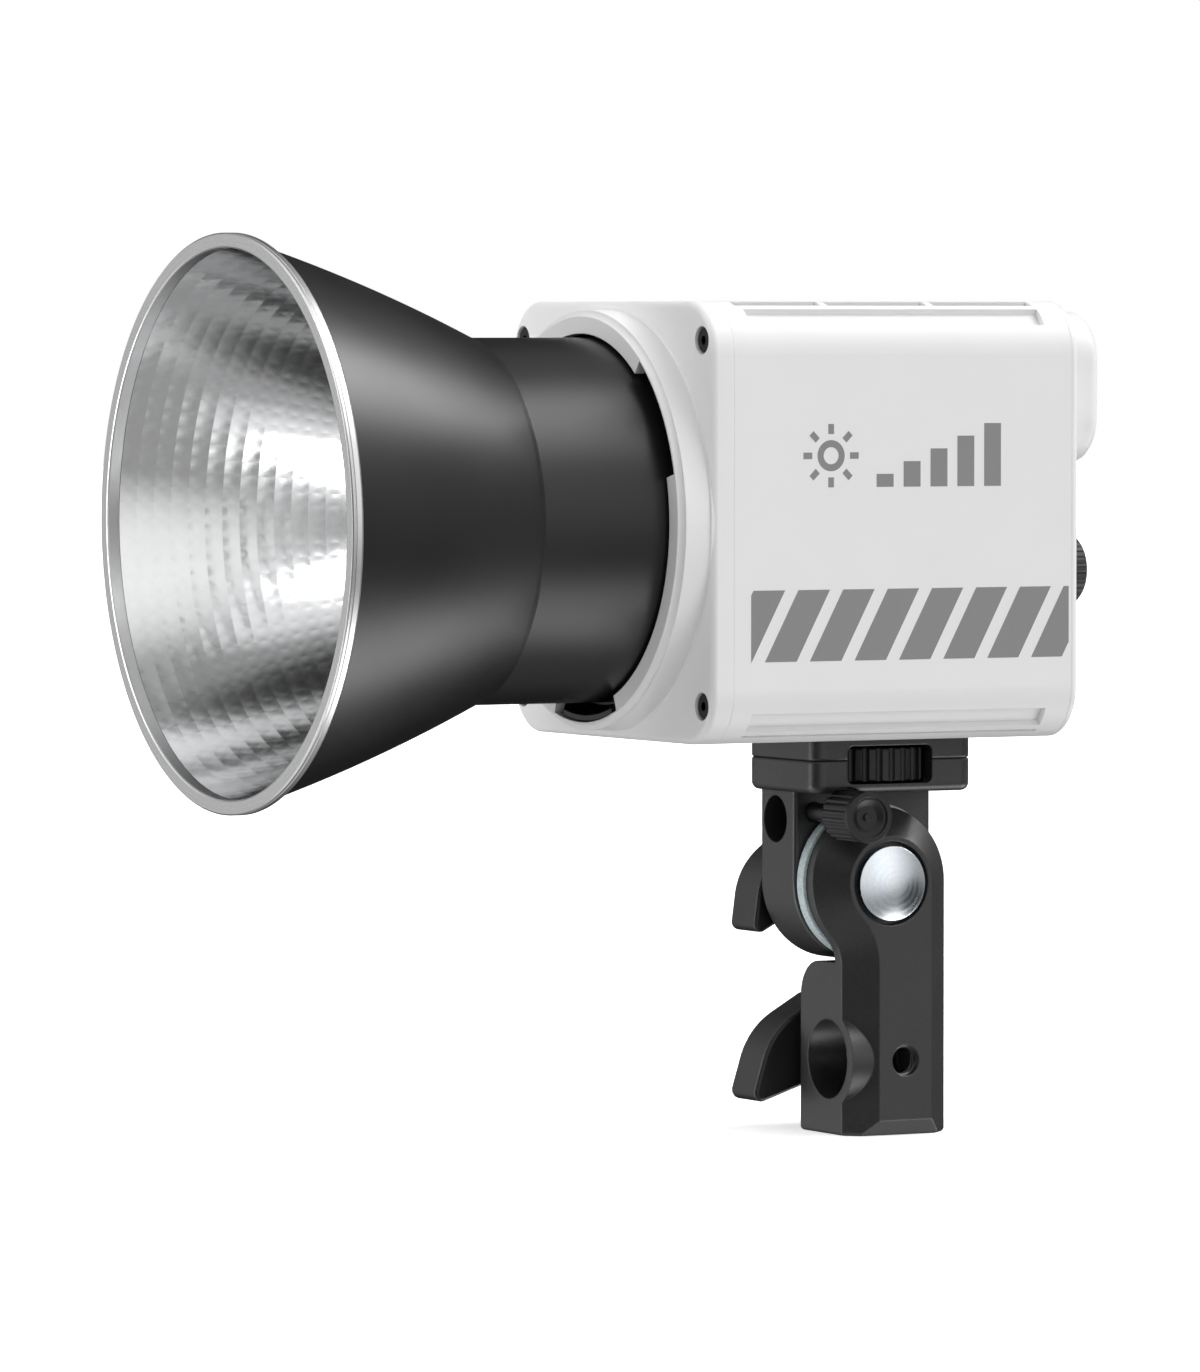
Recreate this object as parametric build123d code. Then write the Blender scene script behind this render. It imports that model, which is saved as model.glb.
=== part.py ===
"""COB LED monolight with a bayonet reflector, on a tilting stand bracket.

Frame: millimetres, +Z up, the lamp faces -Y. The origin is the centre of the stand socket's mouth,
on the bottom face of the stand adapter. The optical axis and the tilt axis both cross X = 0.
Pieces of the lamp head are drawn about the head's own origin, where the optical axis meets the joint
between front bezel and housing, and HEAD carries them to their place.
"""

import os
from math import atan, cos, degrees, hypot, radians, sin, tan

from build123d import *

# Lamp head, about its own origin: Y is the distance behind the bezel joint
SEAM_Y = -57.4
OPTICAL_AXIS_Z = 126.1
BODY_WIDTH = 85.4
BODY_HEIGHT = 88.0
BODY_CORNER = 10.5
BODY_DEPTH = 79.4
WALL = 2.4
SLEEVE_END = 77.6
COVER_INNER = 77.0
CASE_SCREW = (38.2, 36.2)

# Front bezel and bayonet mount
FACE_Y = -4.8
CREST_Y = -11.7
OPENING_RADIUS = 37.5
CREST_RADIUS = 42.2
FLARE_RADIUS = 42.5
MOUNT_RADIUS = 41.0
NOTCH_RADIUS = 40.6
NOTCH_ANGLES = (33.0, 153.0, 273.0)
NOTCH_HALF = 19.0
LUG_RADIUS = 38.8
LUG_HALF = 16.0
LOCKED_TURN = 40.0
LATCH_ANGLE = NOTCH_ANGLES[2]
PIN_REACH = 35.9
LATCH_PIN_RADIUS = 0.6
LATCH_FOOT_Y = -0.3

# Reflector
NECK_RADIUS = 36.7
NECK_FRONT = -39.6
RIM_RADIUS = 57.4
RIM_Y = -91.25
SHEET = 1.0

# Light engine and fan
LED_HALF = 14.0
LED_FACE = 3.6
EMITTER_RADIUS = 9.5
GLASS_RADIUS = 19.2
GLASS_BACK = 1.2
SINK_FRONT = 5.0
LAMP_SCREW_X = 23.2
FAN_Z = 6.0
FAN_HALF = 30.0
HUB_RADIUS = 11.0
FAN_PIN_RADIUS = 1.5
DRIVER_FLOOR = -38.0
DRIVER_TOP = -36.4

# Rear controls, about the optical axis
KNOB_X = 27.0
CONTROL_Z = -10.4
BUTTON_PITCH = 9.0
SOCKET_X = 25.0
SOCKET_Z = -30.0
USB_X = 4.0
ROCKER_X = -SOCKET_X
ROCKER_RADIUS = 5.2
ROCKER_TILT = 9.0
BOARD_FACE = 72.2
KNOB_END = 86.8
SHAFT_RADIUS = 3.0
SHAFT_END = 84.6
POD = (69.0, 31.0)
POD_Z = 26.5
POD_END = 89.6

# Bracket, in the part's frame
TILT_Y = -3.4
TILT_Z = 51.7
PLATE_X = 14.0
PLATE_Y = (-23.2, 14.3)
FOOT_Z = (77.1, 82.1)
ARM_PLATE_Z = (70.4, 77.1)
WINDOW_Y = (-15.3, 4.5)
WINDOW_Z = (72.2, 80.0)
WHEEL_Y = -4.7
WHEEL_RADIUS = 13.6
PLATE_CORNER = 3.0
ARM_X = (-14.3, 0.0)
ARM_RADIUS = 16.4
ARM_BACK = 15.6
ROSETTE_RADIUS = 16.2
ROSETTE_X = (0.0, 0.6, 3.2)
UMBRELLA_X = -8.0
UMBRELLA_Z = 64.4
UMBRELLA_RADIUS = 4.8
UMBRELLA_SCREW = (-15.2, 66.0)
SCREW_HEAD_X = (12.3, 23.0)
SCREW_HEAD_RADIUS = 5.2

# Stand adapter
EAR_X = (3.2, 11.2)
EAR_RADIUS = 15.5
EAR_SHOULDER_X = 5.8
EDGE_INSET = 5.9
CAP_RADIUS = 7.6
CAP_RECESS_RADIUS = 8.6
BLOCK_X = (-11.2, 11.2)
BLOCK_Y = (-12.0, 12.1)
BLOCK_TOP = 35.3
STAND_SOCKET_RADIUS = 8.0
CROSS_SOCKET_RADIUS = 8.1
STUD_DEPTH = 30.0
CROSS_Z = 15.4
CROSS_DEPTH = 21.0
SIDE_THREAD_RADIUS = 3.1
LOCK_RADIUS = 3.0
BOLT_RADIUS = 4.0
STUD_THREAD = 3.1

# Winged handles, on the -X side
LEVER_X = ARM_X[0] - 1.2
LOCK_WING_X = BLOCK_X[0] - 3.4
TILT_LEVER_TURN = 9.5
TILT_WING_SIZE = 0.88
STAND_LOCK_TURN = 0.0
STAND_WING_SIZE = 1.0

RUNNING_GAP = 0.05
HEAD = Pos(0, SEAM_Y, OPTICAL_AXIS_Z)


def block(x, y, z):
    """A box from its (low, high) along each axis."""
    return Pos((x[0] + x[1]) / 2, (y[0] + y[1]) / 2, (z[0] + z[1]) / 2) * Box(
        x[1] - x[0], y[1] - y[0], z[1] - z[0]
    )


def rod(axis, radius, span, centre):
    """A round bar along X, Y or Z over span; centre is its other two coordinates, in order."""
    start, end = span
    first, second = centre
    origin = {"X": (start, first, second), "Y": (first, start, second), "Z": (first, second, start)}
    direction = {"X": (1, 0, 0), "Y": (0, 1, 0), "Z": (0, 0, 1)}
    return extrude(Plane(origin=origin[axis], z_dir=direction[axis]) * Circle(radius), end - start)


def prism(sketch, y, x=0.0, z=0.0):
    """A sketch, drawn with X across and Z up, carried along Y over (front, back)."""
    plane = Plane(origin=(x, y[1], z), x_dir=(1, 0, 0), z_dir=(0, -1, 0))
    return extrude(plane * sketch, y[1] - y[0])


def turned(*outline):
    """A ring turned about the Y axis from an outline of (radius, y) points."""
    return revolve(make_face(Polyline(*outline, close=True)), Axis.Y)


def tube(radii, y):
    """A plain ring about the Y axis, from its (inner, outer) radii and its (front, back)."""
    return turned((radii[0], y[0]), (radii[1], y[0]), (radii[1], y[1]), (radii[0], y[1]))


def sector(radii, y, angle, half):
    """A piece of a ring about the Y axis, half degrees each side of an angle from +X towards +Z."""
    face = make_face(
        Polyline((radii[0], y[0]), (radii[1], y[0]), (radii[1], y[1]), (radii[0], y[1]), close=True)
    )
    return Rot(0, -(angle + half), 0) * revolve(face, Axis.Y, 2 * half)


def body_section(inset=0.0):
    """The housing's rounded rectangle, drawn in by inset."""
    return RectangleRounded(
        BODY_WIDTH - 2 * inset, BODY_HEIGHT - 2 * inset, BODY_CORNER - inset
    )


def corners(x, z):
    """The four (x, z) places mirrored about both axes."""
    return [(x * i, z * j) for i in (-1, 1) for j in (-1, 1)]


def rounded_plate(x_half, y, z, radius):
    """A flat plate with rounded vertical corners."""
    outline = RectangleRounded(2 * x_half, y[1] - y[0], radius)
    return extrude(Pos(0, (y[0] + y[1]) / 2, z[0]) * outline, z[1] - z[0])


def edges_at(solid, axis, value, tolerance=0.01):
    """The edges that lie wholly in the plane where an axis has a value."""
    return solid.edges().filter_by_position(axis, value - tolerance, value + tolerance)


# ---------------------------------------------------------------- lamp head: housing


def corner_groove(angles, depth, y):
    """A lengthwise groove between two angles of the +X -Z corner arc, for one corner."""
    outer = BODY_CORNER + 1.5
    inner = BODY_CORNER - depth
    x = BODY_WIDTH / 2 - BODY_CORNER
    z = BODY_HEIGHT / 2 - BODY_CORNER
    points = [
        (x + r * cos(radians(a)), -z - r * sin(radians(a)))
        for r, a in ((outer, angles[0]), (inner, angles[0]), (inner, angles[1]), (outer, angles[1]))
    ]
    return prism(make_face(Polyline(*points, close=True)), y)


def on_corners(solid, up=(-1, 1)):
    """A solid drawn at the +X -Z corner, repeated at the corners whose height sign is in up."""
    copies = []
    for sign in up:
        placed = solid if sign < 0 else mirror(solid, Plane.XY)
        copies += [placed, mirror(placed, Plane.YZ)]
    return copies


def make_housing():
    """The one-piece sleeve: grooved corners, air slots in the top corners, bosses and rails inside."""
    lower_groove = (25.0, 49.0)
    upper_groove = (33.0, 57.5)
    narrow_groove = (57.0, 61.0)
    slot_angles = (66.0, 80.0)
    groove_y = (4.6, 72.2)
    slot_spans = ((3.4, 23.0), (24.6, 47.4), (49.0, 71.8))
    boss_radius = 3.6
    front_boss = (0.0, 12.0)
    rear_boss = (62.0, COVER_INNER)
    shell = prism(body_section(), (0, SLEEVE_END)) - prism(body_section(WALL), (-1, SLEEVE_END + 1))
    room = prism(body_section(WALL / 2), (0, SLEEVE_END))
    for x, z in corners(*CASE_SCREW):
        for span in (front_boss, rear_boss):
            shell += room & rod("Y", boss_radius, span, (x, z))
    rail_inner = 33.0
    rail_outer = BODY_WIDTH / 2 - WALL / 2
    for side in (-1, 1):
        shell += block(sorted((side * rail_inner, side * rail_outer)), (5.0, 44.0), (-1.5, 1.5))
    for x, z in corners(*CASE_SCREW):
        shell -= rod("Y", 1.3, (-1, SLEEVE_END + 1), (x, z))
    for groove in on_corners(corner_groove(upper_groove, 1.3, groove_y), up=(1,)):
        shell -= groove
    for groove in on_corners(corner_groove(lower_groove, 1.3, groove_y), up=(-1,)):
        shell -= groove
    for groove in on_corners(corner_groove(narrow_groove, 0.7, groove_y), up=(-1,)):
        shell -= groove
    for span in slot_spans:
        slot = corner_groove(slot_angles, 4.0, span)
        for cut in on_corners(slot, up=(1,)):
            shell -= cut
    floor = -BODY_HEIGHT / 2
    wheel_back = WHEEL_Y - SEAM_Y
    shell -= rod("Z", 5.0, (floor - 1, floor + WALL + 1), (0, wheel_back))
    for x, y in foot_screw_places():
        shell -= rod("Z", 1.6, (floor - 1, floor + WALL + 1), (x, y))
    return shell


def foot_screw_places():
    """The four screws of the foot plate, about the head's origin."""
    return [(x, y) for x in (-9.0, 9.0) for y in (38.4, 67.0)]


def make_bezel():
    """The front bezel: a shallow cap with a round collar whose opening has three lug notches."""
    crest_round = 1.2
    plate_back = FACE_Y + WALL
    cap = prism(body_section(), (FACE_Y, 0))
    cap = fillet(edges_at(cap, Axis.Y, FACE_Y), 1.3)
    flare = FLARE_RADIUS - CREST_RADIUS
    profile = make_face(
        Line((30.0, 0.0), (30.0, CREST_Y))
        + Line((30.0, CREST_Y), (CREST_RADIUS - crest_round, CREST_Y))
        + RadiusArc(
            (CREST_RADIUS - crest_round, CREST_Y), (CREST_RADIUS, CREST_Y + crest_round), crest_round
        )
        + Line((CREST_RADIUS, CREST_Y + crest_round), (CREST_RADIUS, FACE_Y - flare))
        + RadiusArc((CREST_RADIUS, FACE_Y - flare), (FLARE_RADIUS, FACE_Y), -flare)
        + Line((FLARE_RADIUS, FACE_Y), (FLARE_RADIUS, 0.0))
        + Line((FLARE_RADIUS, 0.0), (30.0, 0.0))
    )
    collar = revolve(profile, Axis.Y) & prism(body_section(0.15), (CREST_Y - 1, -0.5))
    bezel = cap + collar
    bezel -= prism(body_section(WALL), (plate_back, 1)) - bezel_bosses()
    bezel -= rod("Y", MOUNT_RADIUS, (CREST_Y + 2.1, 1), (0, 0))
    bezel -= rod("Y", OPENING_RADIUS, (CREST_Y - 1, 0), (0, 0))
    for angle in NOTCH_ANGLES:
        bezel -= sector((30.0, NOTCH_RADIUS), (CREST_Y - 1, CREST_Y + 3), angle, NOTCH_HALF)
    for x, z in corners(*CASE_SCREW):
        bezel -= rod("Y", 2.8, (FACE_Y - 3, FACE_Y + 1.9), (x, z))
        bezel -= rod("Y", 1.5, (FACE_Y, 1), (x, z))
    return bezel


def bezel_bosses():
    """The solid corners left inside the bezel for its screws."""
    bosses = [rod("Y", 4.2, (FACE_Y, 0), place) for place in corners(*CASE_SCREW)]
    return Compound(bosses)


def button_head_screw(y_face, direction, place, length):
    """A socket button-head screw along Y: its head's rim lies at y_face and it points direction."""
    head_radius = 2.6
    head_height = 1.5
    shank_radius = 1.25
    tip = y_face + direction * (head_height + length)
    seat = y_face + direction * head_height
    head = rod("Y", head_radius, sorted((y_face, seat)), place)
    crown = edges_at(head, Axis.Y, y_face)
    head = fillet(crown, 0.5)
    socket = RegularPolygon(1.0, 6)
    depth = sorted((y_face - direction, y_face + direction * 0.9))
    head -= prism(socket, depth, place[0], place[1])
    return head + rod("Y", shank_radius, sorted((seat - direction * 0.2, tip)), place)


def make_mount_ring():
    """The bayonet ring: slotted front flange, skirt, and a base that closes the lamp chamber."""
    flange = (CREST_Y + 2.1, CREST_Y + 3.9)
    base = (-2.2, -0.6)
    skirt_inner = MOUNT_RADIUS - 0.6
    chamber_radius = 24.0
    ring = tube((OPENING_RADIUS + 0.2, MOUNT_RADIUS), flange)
    ring += tube((skirt_inner, MOUNT_RADIUS), (flange[0], base[1]))
    ring += tube((chamber_radius, MOUNT_RADIUS), base)
    for angle in NOTCH_ANGLES[:2]:
        ring -= sector((30.0, LUG_RADIUS + 0.4), (flange[0] - 1, flange[1] + 0.01), angle, NOTCH_HALF)
    ring -= sector((30.0, MOUNT_RADIUS + 1), (flange[0] - 1, base[0] - 0.01), LATCH_ANGLE, NOTCH_HALF)
    ring -= sector((LUG_RADIUS, MOUNT_RADIUS + 1), (base[0] - 1, base[1] + 1), LATCH_ANGLE, 9.0)
    ring -= latch_pin(1.2, (base[0] - 1, base[1] + 1))
    return ring


def latch_pin(radius, y):
    """The latch's pin, on its radius below the neck's wall."""
    angle = radians(LATCH_ANGLE)
    return rod("Y", radius, y, (PIN_REACH * cos(angle), PIN_REACH * sin(angle)))


def make_latch():
    """The reflector release: a curved tab in the lowest notch, its stem, and the foot of its pin."""
    tab = sector((LUG_RADIUS + 0.4, NOTCH_RADIUS - 0.3), (CREST_Y + 0.5, -7.0), LATCH_ANGLE, 15.0)
    stem = sector((LUG_RADIUS + 0.4, NOTCH_RADIUS - 0.1), (-7.5, 1.2), LATCH_ANGLE, 7.0)
    foot = sector((34.6, NOTCH_RADIUS - 0.1), (LATCH_FOOT_Y, 1.2), LATCH_ANGLE, 5.0)
    return tab + stem + foot - latch_pin(LATCH_PIN_RADIUS, (LATCH_FOOT_Y - 1, 0.5))


# ---------------------------------------------------------------- lamp head: light engine


def make_lamp_holder():
    """The white frame that clamps the LED board and carries the glass."""
    opening = 14.0
    glass_seat = GLASS_RADIUS + 0.1
    holder = turned(
        (opening, GLASS_BACK), (glass_seat, GLASS_BACK), (glass_seat, -0.5),
        (27.0, -0.5), (27.0, SINK_FRONT), (opening, SINK_FRONT)
    )
    pocket = LED_HALF + 0.1
    holder -= block((-pocket, pocket), (LED_FACE - 0.1, SINK_FRONT + 1), (-pocket, pocket))
    for side in (-1, 1):
        holder -= rod("Y", 2.6, (-1, 2.0), (side * LAMP_SCREW_X, 0))
        holder -= rod("Y", 1.5, (0, 6), (side * LAMP_SCREW_X, 0))
    return holder


def make_led_board():
    """The LED's ceramic board with its two solder lands."""
    land_centre = 8.9
    land_half = 0.9
    board = block((-LED_HALF, LED_HALF), (LED_FACE, SINK_FRONT), (-LED_HALF, LED_HALF))
    for side in (-1, 1):
        middle = side * land_centre
        span = (middle - land_half, middle + land_half)
        board += block(span, (LED_FACE - 0.3, LED_FACE), span)
    return board


def make_heat_sink():
    """A plate with upright fins and four posts for the fan."""
    fin_count = 13
    fin_pitch = 5.2
    sink = block((-33, 33), (SINK_FRONT, 10), (-24, 36))
    for index in range(fin_count):
        x = (index - (fin_count - 1) / 2) * fin_pitch
        sink += block((x - 0.6, x + 0.6), (10, 43), (-24, 36))
    for x, z in fan_screw_places():
        sink += rod("Y", 2.9, (30, 46), (x, z))
    for x, z in fan_screw_places():
        sink -= rod("Y", 1.45, (34, 47), (x, z))
    for side in (-1, 1):
        sink -= rod("Y", 1.45, (4, 11), (side * LAMP_SCREW_X, 0))
    return sink


def fan_screw_places():
    """The fan's four screws, about the head's origin."""
    reach = FAN_HALF - 3.6
    return [(x, FAN_Z + z) for x, z in corners(reach, reach)]


def make_fan_frame():
    """The square fan frame with three arms to its motor plate."""
    frame = block((-FAN_HALF, FAN_HALF), (46, 61), (FAN_Z - FAN_HALF, FAN_Z + FAN_HALF))
    frame -= rod("Y", 28.4, (45, 62), (0, FAN_Z))
    frame += rod("Y", 10.5, (58.6, 61), (0, FAN_Z))
    for turn in (90, 210, 330):
        arm = block((0, 28.6), (59.2, 60.8), (-1.6, 1.6))
        frame += Pos(0, 0, FAN_Z) * Rot(0, turn, 0) * arm
    frame += rod("Y", FAN_PIN_RADIUS, (50, 59), (0, FAN_Z))
    for place in fan_screw_places():
        frame -= rod("Y", 1.7, (45, 62), place)
    return frame


def make_fan_rotor():
    """The fan's cup hub with seven pitched blades."""
    blade_count = 7
    tip_radius = 27.6
    rotor = rod("Y", HUB_RADIUS, (47, 58.2), (0, 0))
    rotor -= rod("Y", FAN_PIN_RADIUS + RUNNING_GAP, (49, 60), (0, 0))
    span = rod("Y", tip_radius, (47.2, 57.6), (0, 0)) - rod("Y", HUB_RADIUS - 1, (46, 59), (0, 0))
    blade = Pos(tip_radius / 2 + 4, 52.4, 0) * Rot(38, 0, 0) * Box(tip_radius, 1.3, 15.5)
    blade = blade & span
    for index in range(blade_count):
        rotor += Rot(0, 360 / blade_count * index, 0) * blade
    return Pos(0, 0, FAN_Z) * rotor


def make_fan_screws():
    """Four long screws through the fan frame into the heat sink's posts."""
    screws = []
    for place in fan_screw_places():
        screws.append(rod("Y", 2.6, (61, 62.6), place) + rod("Y", 1.4, (36, 61.1), place))
    return screws


def make_driver_board():
    """The LED driver's circuit board, over the threaded bush."""
    board = block((-30, 30), (8, 67), (DRIVER_FLOOR, DRIVER_TOP))
    for x, y in standoff_places():
        board -= rod("Z", 1.4, (-39, -35), (x, y))
    return board


def standoff_places():
    """The driver board's four standoffs."""
    return [(x, y) for x in (-26.0, 26.0) for y in (14.0, 61.0)]


def make_driver_parts():
    """The driver's transformer, a winding on a square core."""
    core = block((-20, 2), (20, 36), (DRIVER_TOP, DRIVER_TOP + 9.0))
    winding = block((-16.5, -1.5), (17.5, 38.5), (DRIVER_TOP + 1.5, DRIVER_TOP + 7.5))
    return core + winding


# ---------------------------------------------------------------- lamp head: rear


def make_rear_cover():
    """The rear cover: a flanged lid with a spigot, air slots and the control openings."""
    lid = prism(body_section(), (SLEEVE_END, BODY_DEPTH))
    lid = fillet(edges_at(lid, Axis.Y, BODY_DEPTH), 1.4)
    lid += prism(body_section(WALL + 0.1), (COVER_INNER, SLEEVE_END + 0.1))
    spigot = prism(body_section(WALL + 0.1), (74.4, COVER_INNER + 0.1))
    spigot -= prism(body_section(WALL + 1.7), (73, COVER_INNER))
    for x, z in corners(*CASE_SCREW):
        spigot -= rod("Y", 4.4, (73, COVER_INNER), (x, z))
    lid += spigot
    for x, z in corners(*CASE_SCREW):
        lid -= rod("Y", 2.8, (BODY_DEPTH - 1.5, BODY_DEPTH + 1), (x, z))
        lid -= rod("Y", 1.5, (COVER_INNER - 1, BODY_DEPTH), (x, z))
    for side in (-1, 1):
        lid -= rod("Y", SHAFT_RADIUS + 0.4, (COVER_INNER - 1, BODY_DEPTH + 1), (side * KNOB_X, CONTROL_Z))
    for x in button_places():
        lid -= rod("Y", 3.3, (COVER_INNER - 1, BODY_DEPTH + 1), (x, CONTROL_Z))
    slot = SlotOverall(11.0, 1.8)
    for row in range(3):
        for column in range(5):
            x = (column - 2) * 13.0
            lid -= prism(slot, (COVER_INNER - 1, BODY_DEPTH + 1), x, 1.4 + row * 3.2)
    lid -= prism(RectangleRounded(56.0, 21.0, 4.0), (COVER_INNER - 1, BODY_DEPTH + 1), 0, POD_Z)
    lid -= prism(Rectangle(15.2, 11.4), (COVER_INNER - 1, BODY_DEPTH + 1), ROCKER_X, SOCKET_Z)
    lid -= rod("Y", 4.9, (COVER_INNER - 1, BODY_DEPTH + 1), (SOCKET_X, SOCKET_Z))
    lid -= prism(SlotOverall(9.4, 3.6), (COVER_INNER - 1, BODY_DEPTH + 1), USB_X, SOCKET_Z)
    return lid


def button_places():
    """Where the three buttons stand across the rear cover."""
    return [BUTTON_PITCH * index for index in (-1, 0, 1)]


def make_display_pod():
    """The raised hood round the display, open to the rear cover behind it."""
    pod = prism(RectangleRounded(POD[0], POD[1], 10.0), (BODY_DEPTH, POD_END), 0, POD_Z)
    pod = fillet(edges_at(pod, Axis.Y, POD_END), 2.6)
    pod -= prism(RectangleRounded(POD[0] - 4, POD[1] - 4, 8.0), (BODY_DEPTH - 1, POD_END - 2.2), 0, POD_Z)
    pod -= prism(RectangleRounded(46.4, 19.4, 2.2), (POD_END - 3, POD_END + 1), 0, POD_Z)
    return pod


def make_display_window():
    """The display's clear window, a stepped plate let into the pod."""
    window = prism(RectangleRounded(46.2, 19.2, 2.1), (POD_END - 2.2, POD_END - 0.3), 0, POD_Z)
    return window + prism(RectangleRounded(50.0, 23.0, 2.5), (POD_END - 3.2, POD_END - 2.2), 0, POD_Z)


def make_knob():
    """A knurled control knob with a dished end and a pointer groove."""
    radius = 7.3
    flutes = 36
    knob = rod("Y", radius, (BODY_DEPTH + 0.5, KNOB_END), (0, 0))
    knob = chamfer(edges_at(knob, Axis.Y, KNOB_END), 0.7)
    for index in range(flutes):
        angle = radians(360 / flutes * index)
        place = ((radius + 0.1) * cos(angle), (radius + 0.1) * sin(angle))
        knob -= rod("Y", 0.3, (BODY_DEPTH + 1.4, KNOB_END + 1), place)
    knob -= rod("Y", radius - 1.7, (KNOB_END - 0.5, KNOB_END + 1), (0, 0))
    knob -= block((-0.5, 0.5), (KNOB_END - 1.0, KNOB_END + 1), (2.2, radius - 0.5))
    knob -= rod("Y", SHAFT_RADIUS, (BODY_DEPTH, SHAFT_END), (0, 0))
    return knob


def make_knob_shaft():
    """A control's round shaft, which turns in the encoder's bushing."""
    return rod("Y", SHAFT_RADIUS, (73.4, SHAFT_END), (0, 0))


def make_encoder():
    """An encoder's case and threadless bushing, on the control board."""
    case = block((-5.6, 5.6), (BOARD_FACE, 76.6), (-5.6, 5.6))
    return case - rod("Y", SHAFT_RADIUS + RUNNING_GAP, (73.3, 78), (0, 0))


def make_button(x):
    """A round push button with an inner flange that keeps it in the cover."""
    cap = rod("Y", 3.0, (75.6, 80.7), (x, CONTROL_Z))
    cap = fillet(edges_at(cap, Axis.Y, 80.7), 0.5)
    return cap + rod("Y", 3.8, (75.6, 76.4), (x, CONTROL_Z))


def make_tact_switches():
    """The three small switches behind the buttons."""
    switches = []
    for x in button_places():
        body = block((x - 3, x + 3), (BOARD_FACE, 73.8), (CONTROL_Z - 3, CONTROL_Z + 3))
        switches.append(body + rod("Y", 1.6, (73.7, 74.6), (x, CONTROL_Z)))
    return switches


def make_rocker_frame():
    """The rocker switch's snap-in case, open at the back where the rocker sits."""
    flange = RectangleRounded(19.0, 14.6, 1.2)
    case = prism(flange, (BODY_DEPTH, BODY_DEPTH + 1.0), ROCKER_X, SOCKET_Z)
    case += prism(Rectangle(15.0, 11.2), (64, BODY_DEPTH + 0.1), ROCKER_X, SOCKET_Z)
    room = Rectangle(13.0, 2 * ROCKER_RADIUS + 0.6)
    case -= prism(room, (69.5, BODY_DEPTH + 2), ROCKER_X, SOCKET_Z)
    return case


def make_rocker():
    """The rocker: a short drum whose outer side is cut to two shallow slopes, standing switched off."""
    centre_y = 76.2
    width = 12.4
    drum = rod("X", ROCKER_RADIUS, (-width / 2, width / 2), (0, 0))
    apex = 3.4
    rise = ROCKER_RADIUS * 2 * tan(radians(ROCKER_TILT))
    reach = ROCKER_RADIUS * 2
    far = 20.0
    wedge = make_face(
        Polyline(
            (apex, 0), (apex + rise, reach), (far, reach), (far, -reach), (apex + rise, -reach), close=True
        )
    )
    cutter = extrude(Plane.YZ * wedge, width, both=True)
    rocker = Rot(ROCKER_TILT, 0, 0) * (drum - cutter)
    return Pos(ROCKER_X, centre_y, SOCKET_Z) * rocker


def make_dc_inlet():
    """The round low-voltage inlet with its panel ring and centre pin."""
    place = (SOCKET_X, SOCKET_Z)
    inlet = rod("Y", 4.8, (66, BODY_DEPTH + 0.1), place)
    inlet += rod("Y", 6.2, (BODY_DEPTH, BODY_DEPTH + 1.2), place)
    inlet -= rod("Y", 2.85, (70, BODY_DEPTH + 2), place)
    return inlet + rod("Y", 1.0, (69, BODY_DEPTH - 0.4), place)


def make_usb_port():
    """The small service socket: a rounded metal shell round a flat tongue."""
    shell = prism(SlotOverall(9.2, 3.4), (71.0, BODY_DEPTH), USB_X, SOCKET_Z)
    shell -= prism(SlotOverall(8.6, 2.8), (72.4, BODY_DEPTH + 1), USB_X, SOCKET_Z)
    tongue = (USB_X - 3.2, USB_X + 3.2)
    return shell + block(tongue, (72.0, BODY_DEPTH - 1.2), (SOCKET_Z - 0.35, SOCKET_Z + 0.35))


# ---------------------------------------------------------------- reflector


def bell(offset):
    """The reflector bowl's curve, from the neck to the rim, drawn in by offset."""
    return ThreePointArc(
        (NECK_RADIUS + 0.5 - offset, NECK_FRONT), (47.0 - offset, -62.6), (55.9 - offset, -88.5)
    )


def make_reflector_shell():
    """The pressed outer bowl and its straight neck, with a rolled rim."""
    neck_back = -6.8
    outline = (
        Line((NECK_RADIUS, neck_back), (NECK_RADIUS, NECK_FRONT + 0.6))
        + Line((NECK_RADIUS, NECK_FRONT + 0.6), (NECK_RADIUS + 0.5, NECK_FRONT))
        + bell(0)
        + Line((55.9, -88.5), (RIM_RADIUS - 0.5, -88.7))
        + Line((RIM_RADIUS - 0.5, -88.7), (RIM_RADIUS, -89.3))
        + Line((RIM_RADIUS, -89.3), (RIM_RADIUS, RIM_Y))
        + Line((RIM_RADIUS, RIM_Y), (54.4, RIM_Y))
        + Line((54.4, RIM_Y), (55.9 - SHEET, -88.5))
        + bell(SHEET)
        + Line((NECK_RADIUS + 0.5 - SHEET, NECK_FRONT), (NECK_RADIUS - SHEET, NECK_FRONT + 0.6))
        + Line((NECK_RADIUS - SHEET, NECK_FRONT + 0.6), (NECK_RADIUS - SHEET, neck_back))
        + Line((NECK_RADIUS - SHEET, neck_back), (NECK_RADIUS, neck_back))
    )
    return revolve(make_face(outline), Axis.Y)


def make_reflector_liner():
    """The bright inner skin of the bowl and neck, a thin turned sheet just inside the shell."""
    gap = SHEET
    skin = 0.5
    outer = bell(gap)
    inner = bell(gap + skin)
    neck_outer = NECK_RADIUS - gap
    outline = (
        Line((neck_outer, -16.1), (neck_outer, NECK_FRONT + 0.6))
        + Line((neck_outer, NECK_FRONT + 0.6), (NECK_RADIUS + 0.5 - gap, NECK_FRONT))
        + outer
        + Line((55.9 - gap, -88.5), (55.9 - gap - skin, -88.5))
        + inner
        + Line((NECK_RADIUS + 0.5 - gap - skin, NECK_FRONT), (neck_outer - skin, NECK_FRONT + 0.6))
        + Line((neck_outer - skin, NECK_FRONT + 0.6), (neck_outer - skin, -16.1))
        + Line((neck_outer - skin, -16.1), (neck_outer, -16.1))
    )
    return revolve(make_face(outline), Axis.Y)


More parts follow.
